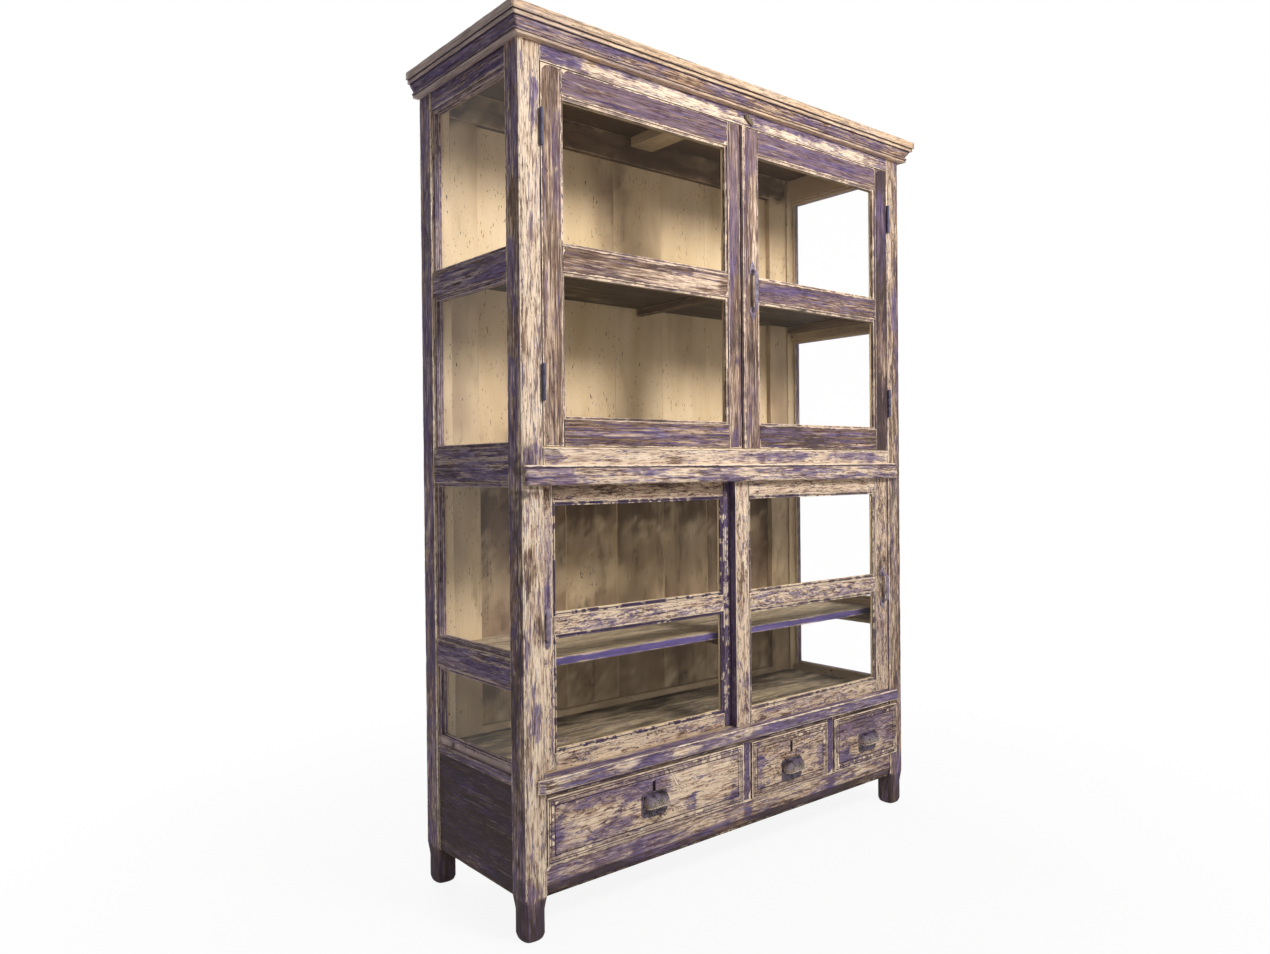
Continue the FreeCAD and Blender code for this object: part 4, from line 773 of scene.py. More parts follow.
RUBBED = coat(0.14, 0.86, 0.12, 0.12, 0.4, 0.8)
BROWNER = coat(0.2, 0.48, 0.42, 0.25, 0.65, 0.32)
TAN_TOP = coat(0.05, 0.6, 0.3, 0.05, 0.6, 0.3)
FULL_VIOLET = coat(0.82, 0.6, 0.15, 0.4, 0.3, 0.5)
BARE_WOOD = coat(0.05, 0.22, 0.3, 0.05, 0.4, 0.3)
POST_LOOK = {"side": VIOLET_SIDE, "under": DARK_FOOT}
BACK_POST_LOOK = {**POST_LOOK, "back": coat(0.08, 0.12, 0.45, 0.1, 0.5, 0.2)}
SHADED_SIDE = coat(0.5, 0.25, 0.85, 0.5, 0.4, 0.15)
POSTS = {
    "post_front_left": (foot, RUBBED, (
        (30, 640, 24, 280, coat(0.12, 0.96, 0.04, 0.1, 0.36, 0.85)), (30, 1835, 30, 40, TAN_TOP),
        (40, 1700, 16, 50, FULL_VIOLET), (4, 1500, 6, 60, BARE_WOOD), (8, 1260, 9, 70, BARE_WOOD),
        (2, 1150, 6, 40, FULL_VIOLET), (48, 1180, 8, 60, FULL_VIOLET),
        (26, 985, 30, 40, coat(0.5, 0.8, 0.3, 0.7, 0.4, 0.6)),
        # The mark at z 915 is partly a painted shadow under the waist moulding.
        (22, 915, 26, 12, coat(0.1, 0.5, 0.9, 0.1, 0.9, 0.5)), (16, 762, 18, 40, BARE_WOOD),
        (40, 640, 10, 40, BARE_WOOD), (6, 590, 7, 60, FULL_VIOLET),
        (30, 450, 14, 50, coat(0.7, 0.7, 0.2, 0.4)), (6, 375, 10, 44, BARE_WOOD),
        (42, 315, 9, 26, FULL_VIOLET), (20, 180, 12, 50, coat(0.5, 0.6, 0.3, 0.4)),
        (14, 110, 24, 26, coat(0.5, 0.4, 0.6, 0.6, 0.5, 0.3)), (-3, 500, 5, 460, SHADED_SIDE))),
    "post_front_right": (notched_foot, BROWNER, (
        # The first mark is a painted shadow: a dark strip down the right arris and side face, which turn away
        # from the lamp.
        (1281, 1000, 5, 900, coat(0.35, 0.2, 0.8, 0.3, 0.5, 0.2)),
        (1240, 1550, 7, 160, coat(0.05, 0.9, 0.1, 0.0, 0.3, 0.8)), (1262, 1420, 16, 60, FULL_VIOLET),
        (1256, 880, 20, 60, coat(0.3, 0.6, 0.3, 0.5, 0.5, 0.5)),
        (1262, 560, 20, 120, coat(0.1, 0.45, 0.4, 0.1, 0.7, 0.4)),
        (1262, 115, 26, 40, coat(0.5, 0.3, 0.5, 0.7, 0.4, 0.3)))),
    "post_back_left": (foot, RUBBED, ((-3, 900, 5, 1000, coat(0.6, 0.4, 0.5, 0.5, 0.4, 0.3)),)),
    "post_back_right": (foot, RUBBED, ()),
}
for node, (form, paint, marks) in POSTS.items():
    low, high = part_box(node)
    across_cut = [drawer_high[0] + 1.8 * MM - low[0], drawer_high[0] + 2.2 * MM - low[0]]
    up_cut = [drawer_low[2] - 1.2 * MM, drawer_low[2] - 0.8 * MM, drawer_high[2] + 0.8 * MM,
              drawer_high[2] + 1.2 * MM, FOOT_TOP, FOOT_TOP - 10 * MM]
    cuts = (across_cut if form is notched_foot else (), [23.6 * MM, 24.4 * MM], up_cut)
    looks = POST_LOOK if "front" in node else BACK_POST_LOOK
    piece(node, [board(low, high, along=2, shape=form, cuts=cuts, step=8 * MM, ease=1.8 * MM, looks=looks,
                       worn=1.5 * MM, chips=2 * MM, paint=paint, marks=marks)], frame_paint)

# %% [markdown]
# ## Rails across the front
#
# The apron, the thin rail over the drawers, the ledge that the sliding doors run on, the waist
# rail and the frieze. The ledge is planed to a round nose in front and laps over the right post;
# the moulding over the waist is a separate strip, nailed on. The apron's lower edge is planed off
# at a slant and painted dark, partly as painted shade for a face that turns down.

# %% Front rails
APRON_SLANT = 24 * MM
DARK_EDGE = coat(0.3, 0.05, 0.8, 0.45, 0.25, 0.1)


def slanted(made):
    """Planes the apron's lower front edge off at a slant."""
    points = made["points"]
    low = points.min(0)
    depth = np.clip(1 - (points[:, 2] - low[2]) / APRON_SLANT, 0, 1)
    front_face = points[:, 1] < low[1] + 2.2 * MM
    points[front_face, 1] += 7 * MM * depth[front_face]
    # The slant is painted dark, partly as painted shade where it turns down.
    share = np.clip(depth * 12, 0, 1)[:, None]
    made["paint"] = made["paint"] * (1 - share) + DARK_EDGE * share


DEEP = coat(0.9, 0.12, 0.4, 0.5, 0.3, 0.2)
STREAK = coat(0.05, 0.97, 0.02, 0.0, 0.25, 1.0)
RAILS = {
    "apron_rail": (coat(0.3, 0.6, 0.3, 0.45, 0.6, 0.45), slanted, (
        (300, 120, 24, 22, DEEP), (648, 120, 15, 40, DEEP), (968, 120, 15, 40, DEEP),
        (120, 122, 50, 14, coat(0.25, 0.85, 0.1, 0.2, 0.4, 0.7)),
        (480, 128, 90, 12, coat(0.1, 0.85, 0.2, 0.1, 0.4, 0.5)),
        (820, 126, 90, 12, coat(0.2, 0.85, 0.2, 0.2, 0.5, 0.6)))),
    "drawer_rail": (coat(0.7, 0.4, 0.55, 0.4, 0.4, 0.4), None, ()),
    "waist_rail": (coat(0.2, 0.93, 0.12, 0.06, 0.3, 0.7), None, (
        (80, 990, 30, 18, coat(0.4, 0.6, 0.3, 0.95, 0.3, 0.5)), (420, 978, 30, 12, BARE_WOOD),
        (760, 995, 160, 9, FULL_VIOLET), (1090, 990, 120, 16, coat(0.45, 0.8, 0.2, 0.5, 0.4, 0.6)))),
    "frieze_rail": (coat(0.6, 0.66, 0.15, 0.7, 0.25, 0.7), None, (
        (90, 1826, 50, 22, FULL_VIOLET), (230, 1816, 90, 11, STREAK), (420, 1814, 120, 11, STREAK),
        (600, 1812, 110, 11, STREAK), (800, 1812, 100, 11, STREAK), (1050, 1813, 140, 12, STREAK),
        (188, 1830, 16, 9, BARE_WOOD), (330, 1838, 60, 8, FULL_VIOLET), (1180, 1835, 60, 14, FULL_VIOLET))),
}
for node, (paint, form, marks) in RAILS.items():
    low, high, along = timber(solids(node)[0])
    cuts = ((), (), [APRON_SLANT]) if form is slanted else ((), (), ())
    piece(node, [board(low, high, along, paint=paint, step=9 * MM, chips=1.2 * MM, marks=marks, shape=form,
                       cuts=cuts, joints=True)], frame_paint)

# %% [markdown]
# ## Moulded lengths
#
# The cornice and the waist moulding are mouldings, run with a plane. A section is written once as
# outward and upward sizes and swept in straight rings along the wall. Letting each ring's ends run
# out as far as its own projection gives the cornice its mitres by itself.

# %% Sections
SOFT_BEND = math.radians(35)


def softened(section, reach):
    """The section with each sharp corner cut by two points; also what sort of corner each point is."""
    out, kind = [], []
    for before, here, after in zip(np.roll(section, 1, 0), section, np.roll(section, -1, 0)):
        a, b = before - here, after - here
        la, lb = np.linalg.norm(a), np.linalg.norm(b)
        turn = (a[0] * b[1] - a[1] * b[0]) / (la * lb)
        bend = math.acos(np.clip(-(a @ b) / (la * lb), -1, 1))
        if bend < SOFT_BEND:
            out.append(here)
            kind.append(0)
            continue
        cut = min(reach, 0.4 * la, 0.4 * lb)
        for step in (here + a / la * cut, here + (a / la + b / lb) * cut * 0.25, here + b / lb * cut):
            out.append(step)
            kind.append(1 if turn < 0 else -1)
    return np.array(out), np.array(kind)


def reach_to(section, marks):
    """Distance along the section from each point to the next marked one."""
    steps = np.linalg.norm(np.roll(section, -1, 0) - section, axis=1)
    way = np.concatenate([[0], np.cumsum(steps)[:-1]])
    if not marks.any():
        return np.ones(len(section)), way
    gaps = abs(way[:, None] - way[marks][None, :])
    return np.minimum(gaps, steps.sum() - gaps).min(1), way


# %% Sweep
def sweep(section, kind, start, end, outward, paint, mitres=(0, 0), step=9 * MM, flaw=0.5 * MM, marks=()):
    """A section drawn from start to end; a mitre lets that end run out by each point's projection."""
    global board_count
    board_count += 1
    start, end, outward = (np.array(v, float) for v in (start, end, outward))
    length = np.linalg.norm(end - start)
    ahead = (end - start) / length
    up = np.array([0, 0, 1.0])
    edge, way = reach_to(section, kind > 0)
    # The section's inner corners are darkened through nook: painted shade in the hollows of the moulding.
    nook = reach_to(section, kind < 0)[0]
    rings = max(2, round(length / step))
    points, grain = [], []
    for share in np.linspace(0, 1, rings):
        along = share * length - (1 - share) * mitres[0] * section[:, 0] + share * mitres[1] * section[:, 0]
        spot = start + np.outer(along, ahead)
        points.append(spot + np.outer(section[:, 0], outward) + np.outer(section[:, 1], up))
        grain.append(np.column_stack([along, way, np.zeros(len(way))]))
    points, grain = np.concatenate(points), np.concatenate(grain)
    worn_away = np.tile(np.clip(1 - edge / (4 * MM), 0, 1), rings)
    bite = np.clip(rough(points, 0.025, board_count) + 0.3, 0, 1.3) * worn_away * flaw * 1.6
    drift = rough(points, 0.15, board_count + 5) * flaw * 0.5
    hold = np.tile(section[:, 0] > MM, rings)
    points -= np.outer((bite + np.abs(drift)) * hold, outward)
    n = len(section)
    faces = [[r * n + i, (r + 1) * n + i, (r + 1) * n + (i + 1) % n, r * n + (i + 1) % n]
             for r in range(rings - 1) for i in range(n)]
    faces += [list(range(n)), [(rings - 1) * n + i for i in reversed(range(n))]]
    if np.cross(ahead, outward) @ up > 0:
        faces = [f[::-1] for f in faces]
    made = {"points": points, "faces": faces, "grain": grain + 0.61 * board_count,
            "edge": np.tile(edge, rings), "paint": np.tile(paint, (len(points), 1)),
            "inside": np.zeros(len(points)), "nook": np.tile(nook, rings),
            "out": np.tile(outward, (len(points), 1))}
    marked(made, marks)
    return made


# %% Waist moulding
def waist_section():
    """A flat face with a round lower edge and a small lip along the top."""
    points = [(0, 0)]
    for turn in np.linspace(-90, 0, 5):
        points.append((11 + 4 * math.cos(math.radians(turn)), 4 + 4 * math.sin(math.radians(turn))))
    points += [(15, 29.5), (13.6, 33), (10.5, 35.2), (9, 36), (9, 42), (0, 42)]
    return np.array(points) * MM


low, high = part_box("waist_moulding")
section, corner_kind = softened(waist_section(), 0.8 * MM)
SOLID_MAUVE = coat(0.35, 0.75, 0.05, 1.0, 0.1, 0.7)
piece("waist_moulding", [sweep(section, corner_kind, (low[0], corner[1], low[2]),
                               (high[0], corner[1], low[2]), (0, -1, 0),
                               coat(0.42, 0.84, 0.15, 0.12, 0.55, 0.65), flaw=1.6 * MM, step=7 * MM,
                               marks=((50, 950, 75, 40, SOLID_MAUVE), (160, 945, 30, 12, FULL_VIOLET),
                                      (330, 952, 60, 10, FULL_VIOLET), (560, 946, 80, 12, FULL_VIOLET),
                                      (250, 950, 26, 10, BARE_WOOD), (820, 955, 70, 12, FULL_VIOLET),
                                      (1050, 948, 60, 14, FULL_VIOLET), (1180, 955, 40, 12, BARE_WOOD)))],
      frame_paint)

# %% Ledge
ledge_low, ledge_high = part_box("sill_ledge")
post_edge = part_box("post_front_right")[0][0]


def lap(made):
    """Only the nose of the ledge runs on over the right post, and its left end is broken off."""
    points = made["points"]
    beyond = points[:, 0] > post_edge
    points[beyond, 1] = np.minimum(points[beyond, 1], corner[1])
    from_left = points[:, 0] - ledge_low[0]
    near_end = np.clip(1 - (from_left - 8 * MM) / (14 * MM), 0, 1)
    broken = near_end * np.clip((corner[1] + 2 * MM - points[:, 1]) / (8 * MM), 0, 1)
    points[:, 1] += 7 * MM * broken * (0.7 + 0.5 * rough(points, 0.012, 4.0))


from_end = post_edge - ledge_low[0]
nose_cuts = ([*(np.array([4, 9, 14, 19, 25]) * MM), from_end - 0.2 * MM, from_end + 0.2 * MM],
             [corner[1] - ledge_low[1]], ())
WORN_WOOD = coat(0.0, 0.1, 0.05, 0.0, 0.3, 0.9)
DEEP_VIOLET = coat(0.95, 0.7, 0.15, 0.6, 0.3, 0.7)
piece("sill_ledge", [board(ledge_low, ledge_high, 0, paint=coat(0.66, 0.74, 0.16, 0.5, 0.42, 0.75),
                           ease=4 * MM, worn=2.2 * MM, step=7 * MM, shape=lap, cuts=nose_cuts, chips=3 * MM,
                           marks=((62, 312, 18, 12, WORN_WOOD), (250, 318, 60, 8, STREAK),
                                  (420, 316, 50, 8, STREAK), (640, 318, 60, 8, STREAK),
                                  (330, 312, 40, 12, FULL_VIOLET), (900, 314, 230, 16, DEEP_VIOLET),
                                  (1150, 312, 120, 14, DEEP_VIOLET), (160, 316, 40, 10, FULL_VIOLET)))],
      frame_paint)

# %% [markdown]
# ## The sides
#
# Each side is a frame of rails between the posts, with four panes and closed boards at the foot.
# They stand in the shade and were never rubbed down, so they are the most violet.

# %% Side frames
SILL_FALL = 15 * MM


def sill(made):
    """The lowest rail sheds water: its top falls towards the outside."""
    points = made["points"]
    low, high = points.min(0), points.max(0)
    outer = (abs(points[:, 0]) - min(abs(low[0]), abs(high[0]))) / (high[0] - low[0])
    upper = (points[:, 2] - low[2]) / (high[2] - low[2])
    points[:, 2] -= SILL_FALL * np.clip(outer, 0, 1) * upper


SIDE_COAT = coat(0.5, 0.5, 0.3, 0.5, 0.4, 0.42)
BASE_COAT = coat(0.46, 0.12, 0.95, 0.4, 0.4, 0.12)
for hand in ("left", "right"):
    node = "side_rails_" + hand
    parts = []
    for points in solids(node):
        low, high, along = timber(points)
        parts.append(board(low, high, along, shape=sill if len(points) == 10 else None,
                           cuts=([22 * MM], (), ()), paint=SIDE_COAT, joints=True))
    piece(node, parts, side_paint)
piece("side_boards", [board(*timber(p), paint=BASE_COAT, joints=True) for p in solids("side_boards")],
      side_paint)

# %% [markdown]
# ## Glazing beads
#
# A pane is held between two thin frames of bead. Each ring of the frame is four strips that meet
# at the corners. The sliding doors' beads have a groove run along them, so that violet stays
# between two rubbed ridges.

# %% Rings of bead
BEAD_GROOVE = 1.5 * MM
GROOVED_EDGE = 2.2 * MM
RIDGE_EDGE = 3.1 * MM
BEAD_LINES = np.array([0.3, 0.42, 0.5, 0.58, 0.7])
PASSING_COAT = coat(1.2, 0.25, 0.05, 0.9, 0.1, 0.7)


def grooved(axis):
    """A shape that presses a groove along the middle of a bead's front face."""
    def press(made):
        points = made["points"]
        low, high = points.min(0), points.max(0)
        away = abs(points[:, axis] - (low[axis] + high[axis]) / 2)
        front_face = points[:, 1] < low[1] + 1.5 * MM
        depth = np.clip(1 - away / (0.2 * (high[axis] - low[axis])), 0, 1)
        points[front_face, 1] += BEAD_GROOVE * depth[front_face]
        made["edge"] = np.where(front_face, GROOVED_EDGE, made["edge"])
        # The groove's bottom is darkened through nook, as painted shade.
        made["nook"] = np.where(front_face, np.where(depth > 0.2, 0.0, GROOVED_EDGE), 1.0)
    return press


def ring(points, thin_axis, paint, room=None, groove=False):
    """Four strips round an opening, from the corners of one ring shaped solid."""
    low, high = points.min(0), points.max(0)
    width = min(abs(c) for c in points[:, 2] - low[2] if abs(c) > MM)
    flat = 1 - thin_axis
    made = []
    for at_high_end in (False, True):
        for along, across, trim in ((2, flat, 0), (flat, 2, width)):
            a, b = low.copy(), high.copy()
            a[along] += trim
            b[along] -= trim
            if at_high_end:
                a[across] = high[across] - width
            else:
                b[across] = low[across] + width
            cuts = [(), (), ()]
            cuts[across] = BEAD_LINES * width if groove else ()
            made.append(board(a, b, along, paint=paint, ease=1.1 * MM, worn=0.5 * MM, wave=0.2 * MM,
                              step=12 * MM, room=room, cuts=cuts,
                              shape=grooved(across) if groove else None))
    return made


SILL_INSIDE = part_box("side_rails_right")[0][0]
SILL_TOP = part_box("side_beads")[0][2]


def bedded(points):
    """Lets the lowest beads of the sides down on to the slope of the sill."""
    resting = points[:, 2] < SILL_TOP + 0.9 * MM
    outward = np.clip((abs(points[:, 0]) - SILL_INSIDE) / (36 * MM), 0, 1)
    points[resting, 2] = (SILL_TOP - SILL_FALL * outward + 0.3 * MM)[resting]


def in_passing_stile(strip):
    """Whether a strip borders the stile where the two sliding doors pass each other."""
    return strip["points"][:, 0].min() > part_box("slider_left_beads")[1][0] - 12 * MM


parts = [strip for p in solids("side_beads")
         for strip in ring(p, 0, coat(0.75, 0.4, 0.2, 0.7, 0.2, 0.5))]
for strip in parts:
    bedded(strip["points"])
piece("side_beads", parts, side_paint)
UPPER_BEADS = coat(0.4, 0.5, 0.5, 0.6, 0.4, 0.3)
for door, finish, slot, paint in (
        ("upper_door_left", door_paint, "upper_door_wood", UPPER_BEADS),
        ("upper_door_right", door_paint, "upper_door_wood", UPPER_BEADS),
        ("slider_left", front_paint, "front_wood", coat(1.3, 0.45, 0.15, 0.6, 0.2, 0.7)),
        ("slider_right", front_paint, "front_wood", coat(0.7, 0.7, 0.15, 0.5, 0.2, 0.8))):
    room = behind(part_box(door + "_panes")[0][1] + 1 * MM)
    parts = [strip for p in solids(door + "_beads") for strip in ring(p, 1, paint, room, "slider" in door)]
    for strip in parts:
        if door == "slider_left" and in_passing_stile(strip):
            strip["paint"][:] = PASSING_COAT
            strip["edge"][:] = RIDGE_EDGE
    piece(door + "_beads", parts, finish)

# %% [markdown]
# ## Back, shelves and bearers
#
# Seven upright planks close the back, with a frame nailed inside them. Each shelf is three boards
# side by side on bearers. What faces down, and what lies under the ceiling, is made dark brown: old
# bare wood, and painted shade where little light reaches.

# %% Inside timbers
# Faces that look down go dark brown: aged wood, and painted shade where little light reaches.
BROWN_AND_SHADED_UNDER = {"under": coat(0.0, 0.3, 1.15, 0.0, 0.4, 0.2)}
CLOSED = 0.35 * MM
BACK_GRIME = (0.15, 0.6, 0.3, 0.05, 0.5, 0.2, 0.7)
# SHADOW_STREAK and DIM_WALL are painted shade on the back wall: streaks of cast shadow, and the dimmer lower
# bays.
SHADOW_STREAK = coat(0, 0.9, 0.36, 0, 0.5, 0.4)
DIM_WALL = coat(0, 0.9, 0.56, 0, 0.4, 0.4)
CRACK = coat(0, 0.1, 1.0, 0, 1.0, 0.0)
# Among the back wall's marks, the band at z 870 is painted shade under the waist deck and the paler band at z
# 680 a painted patch of light.
BACK_MARKS = ((640, 600, 900, 330, DIM_WALL), (640, 870, 900, 60, coat(0, 0.9, 0.8)),
              (330, 680, 330, 46, coat(0, 0.9, 0.25)), (575, 1660, 30, 170, SHADOW_STREAK),
              (580, 1745, 5, 26, CRACK), (1060, 760, 5, 90, CRACK), (240, 640, 7, 30, CRACK),
              (160, 430, 40, 20, coat(0, 0.9, 0.6, 0, 0.8, 0.4)), (760, 860, 14, 40, SHADOW_STREAK),
              (465, 880, 16, 7, CRACK), (980, 1250, 8, 120, SHADOW_STREAK))
EDGE_COAT = {"front": coat(1.45, 0.5, 0.1, 0.6, 0.3, 0.6), **BROWN_AND_SHADED_UNDER}
for node, paint, finish, looks, marks in (
        ("back_boards", coat(0, 0.9, 0.1), plank, None, BACK_MARKS),
        # On the back frame, the top rail under the ceiling is made darker, partly as painted shade, and the
        # lower right part gets the painted shade of the lower bays.
        ("back_frame", coat(0, 0.9, 0.25), plank, BROWN_AND_SHADED_UNDER,
         ((640, 1830, 700, 60, coat(0, 0.9, 0.85)), (1150, 600, 200, 300, DIM_WALL))),
        # The ceiling's and the shelves' undersides go darker still, partly as painted shade.
        ("top_board", coat(0.1, 0.5, 0.5), plank, {"under": coat(0, 0.3, 1.2)}, ()),
        ("ceiling_batten", coat(0.1, 0.6, 0.45), plank, None, ()),
        ("shelf_bearers", coat(0.1, 0.6, 0.75), plank, BROWN_AND_SHADED_UNDER, ()),
        ("upper_shelf", coat(0, 0.45, 0.45), shelf_plank, {"under": coat(0, 0.1, 1.4, 0, 0.4)}, ()),
        ("waist_deck", coat(0, 0.45, 0.45), shelf_plank, {"under": coat(0, 0.1, 1.4, 0, 0.4)}, ()),
        ("lower_shelf", coat(0, 0.62, 0.1), shelf_plank, EDGE_COAT, ()),
        ("cabinet_floor", coat(0, 0.35, 0.7), shelf_plank, None, ()),
        ("drawer_dividers", coat(1.0, 0.2, 0.35, 0.4, 0.3), frame_paint, None, ()),
        ("drawer_runners", coat(0.1, 0.3, 0.3), plank, None, ())):
    parts = []
    for points in solids(node):
        low, high, along = timber(points)
        snug = node == "back_boards"
        if snug:
            low[0] -= CLOSED
            high[0] += CLOSED
            looks = {"back": coat(0, 0.9, BACK_GRIME[len(parts)])}
        parts.append(board(low, high, along, paint=paint, looks=looks, step=16 * MM, marks=marks,
                           ease=(0.4 if snug else 1.2) * MM, worn=(0.15 if snug else 0.9) * MM,
                           wave=(0.1 if snug else 0.35) * MM))
    piece(node, parts, finish)

# %% [markdown]
# ## Cornice
#
# Foot, bead, ogee, fillet, groove and top band: the section follows those names from below.

# %% Section of the cornice
CORNICE_FOOT = 6 * MM
CORNICE_BEAD = 6 * MM
CORNICE_OGEE = 18 * MM
CORNICE_FILLET = 7.5 * MM
CORNICE_GROOVE = 1.5 * MM
CORNICE_BAND = 17 * MM


def cornice_section():
    """Corner points, outward and upward from the wall and the cornice's lower edge."""
    z = CORNICE_FOOT
    points = [(0, 0), (17 * MM, 0), (17 * MM, z)]
    for turn in np.linspace(-80, 80, 7):
        r = CORNICE_BEAD / 2
        points.append((16 * MM + r * math.cos(math.radians(turn)),
                       z + r + r * math.sin(math.radians(turn))))
    z += CORNICE_BEAD
    for share in np.linspace(0, 1, 11):
        swell = 0.5 - 0.5 * math.cos(math.pi * share)
        points.append((15 * MM + 9 * MM * swell, z + CORNICE_OGEE * share))
    z += CORNICE_OGEE
    points += [(30 * MM, z), (30 * MM, z + CORNICE_FILLET), (29 * MM, z + CORNICE_FILLET)]
    z += CORNICE_FILLET + CORNICE_GROOVE
    points += [(29 * MM, z), (34 * MM, z), (34 * MM, z + CORNICE_BAND), (0, z + CORNICE_BAND)]
    return np.array(points)


section, corner_kind = softened(cornice_section(), 1.0 * MM)
print("cornice section", len(section), "points,", (corner_kind > 0).sum(), "on outer corners")
low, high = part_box("cornice_front")
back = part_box("post_back_left")[1][1]
left, right, front = corner[0], -corner[0], corner[1]
TAN_STREAKS = coat(0.12, 0.5, 0.25, 0.2, 0.6, 0.15)
SIDE_CORNICE = coat(0.55, 0.5, 0.25, 0.7, 0.25, 0.5)
CORNICE_MARKS = ((20, 1858, 110, 30, SOLID_MAUVE), (340, 1882, 380, 11, TAN_STREAKS),
                 (980, 1882, 380, 11, TAN_STREAKS), (420, 1850, 160, 9, TAN_STREAKS),
                 (260, 1862, 50, 9, FULL_VIOLET), (560, 1856, 70, 9, FULL_VIOLET),
                 (900, 1853, 110, 9, FULL_VIOLET), (1200, 1868, 110, 16, coat(0.5, 0.7, 0.3, 0.6)))
piece("cornice_front", [sweep(section, corner_kind, (left, front, low[2]), (right, front, low[2]),
                              (0, -1, 0), coat(0.34, 0.46, 0.28, 0.5, 0.5, 0.3), mitres=(1, 1),
                              flaw=0.8 * MM, marks=CORNICE_MARKS)], cornice_paint)
piece("cornice_returns",
      [sweep(section, corner_kind, (side, front, low[2]), (side, back, low[2]), (way, 0, 0), SIDE_CORNICE,
             mitres=(1, 0)) for side, way in ((left, -1), (right, 1))], side_paint)

# %% [markdown]
# ## Doors
#
# Two hinged doors above, two sliding doors below. Each is a frame of two stiles and three rails,
# so one loop makes them all. A table gives each board its state: the hinged doors are browner, the
# sliding doors were rubbed back to cream.

# %% Door frames
DOOR_EDGE = coat(0.85, 0.3, 0.3, 0.6)
MAUVE_RAIL = coat(0.18, 0.22, 0.2, 0.95, 0.15, 0.35)
STREAKED = coat(0.08, 0.36, 0.3, 0.2, 0.4, 0.4)
DOORS = {
    "upper_door_left_frame": (door_paint, "upper_door_wood", {
        "left": coat(0.1, 0.46, 0.32, 0.2, 0.35, 0.4), "right": coat(0.24, 0.28, 0.36, 0.6, 0.4, 0.3),
        "top": MAUVE_RAIL, "middle": STREAKED, "bottom": coat(0.42, 0.42, 0.3, 0.45, 0.45, 0.3)},
        ((85, 1750, 30, 50, coat(0, 0.3, 0.45, 0.1, 0.3, 0.3)),
         (98, 1600, 8, 170, coat(0.2, 0.3, 0.1, 1.0, 0.2)),
         (130, 1403, 90, 26, coat(0, 0.25, 0.3, 0.3, 0.3)), (480, 1400, 90, 16, STREAK),
         (618, 1600, 10, 160, coat(0.1, 0.3, 0.1, 1.0, 0.2)),
         (612, 1150, 20, 90, coat(0, 0.5, 0.3, 0.05, 0.4)),
         (620, 1330, 14, 80, coat(0, 0.2, 0.4, 0.1, 0.4)),
         (70, 1050, 20, 30, coat(0.1, 0.5, 0.5, 0.2, 0.7)))),
    "upper_door_right_frame": (door_paint, "upper_door_wood", {
        "left": coat(0.2, 0.34, 0.4, 0.4, 0.45, 0.35), "right": coat(0.34, 0.0, 1.0, 0.3, 0.45, 0.05),
        "top": coat(0.3, 0.3, 0.2, 0.85, 0.2, 0.35), "middle": coat(0.3, 0.28, 0.45, 0.45, 0.45, 0.3),
        "bottom": coat(0.45, 0.26, 0.55, 0.35, 0.5, 0.2)},
        ((665, 1740, 20, 60, coat(0.1, 0.4, 0.2, 0.95, 0.3)), (690, 1500, 8, 120, STREAK),
         (670, 1250, 20, 70, coat(0, 0.35, 0.45, 0.1, 0.6)),
         (1205, 1620, 22, 120, coat(0.8, 0.1, 0.5, 0.7)),
         (1205, 1300, 22, 90, coat(0.05, 0.45, 0.45, 0.1, 0.5)))),
    "slider_left_frame": (front_paint, "front_wood", {
        "left": coat(0.14, 0.97, 0.06, 0.15, 0.38, 0.9), "right": PASSING_COAT,
        "top": coat(0.08, 0.85, 0.3, 0.05, 0.5, 0.35), "middle": coat(0.35, 0.85, 0.12, 0.25, 0.4, 0.8),
        "bottom": coat(0.28, 0.85, 0.15, 0.3, 0.4, 0.65)},
        ((72, 900, 30, 40, coat(0, 0.4, 0.5, 0.05, 0.8, 0.2)), (76, 690, 9, 60, FULL_VIOLET),
         # The long dark mark at z 924 is a painted shadow under the waist moulding.
         (340, 924, 300, 10, coat(0.1, 0.5, 0.85, 0.1, 0.6, 0.2)),
         (90, 430, 9, 110, coat(0.3, 0.6, 0.2, 0.9)), (300, 348, 80, 14, STREAK),
         (130, 358, 40, 14, coat(0.2, 0.7, 0.3, 0.6)))),
    "slider_right_frame": (front_paint, "front_wood", {
        "left": coat(0.14, 0.9, 0.1, 0.12, 0.45, 0.75), "right": coat(0.2, 0.72, 0.25, 0.3, 0.5, 0.55),
        "top": coat(0.16, 0.9, 0.12, 0.15, 0.45, 0.65), "middle": coat(0.4, 0.8, 0.15, 0.35, 0.45, 0.75),
        "bottom": coat(0.22, 0.85, 0.2, 0.25, 0.45, 0.6)},
        ((660, 760, 7, 80, coat(0.5, 0.7, 0.2, 0.4)), (655, 420, 12, 50, FULL_VIOLET),
         (640, 690, 10, 60, BARE_WOOD), (1205, 640, 16, 90, coat(0.1, 0.4, 0.6, 0.1, 0.8)),
         (1195, 860, 20, 60, coat(0.1, 0.6, 0.3, 0.2, 0.7)))),
}


def role(low, high, door_low, door_high):
    """Which board of a door frame lies between two corners."""
    middle = (low + high) / 2
    centre = (door_low + door_high) / 2
    if high[2] - low[2] > high[0] - low[0]:
        return "left" if middle[0] < centre[0] else "right"
    share = (middle[2] - door_low[2]) / (door_high[2] - door_low[2])
    return "bottom" if share < 0.25 else "middle" if share < 0.75 else "top"


def plain_sides(made):
    """The faces of a stile that look sideways keep their coat right up to the arris."""
    made["edge"] = np.where(abs(made["out"][:, 0]) > 0.95, OFF_ARRIS, made["edge"])


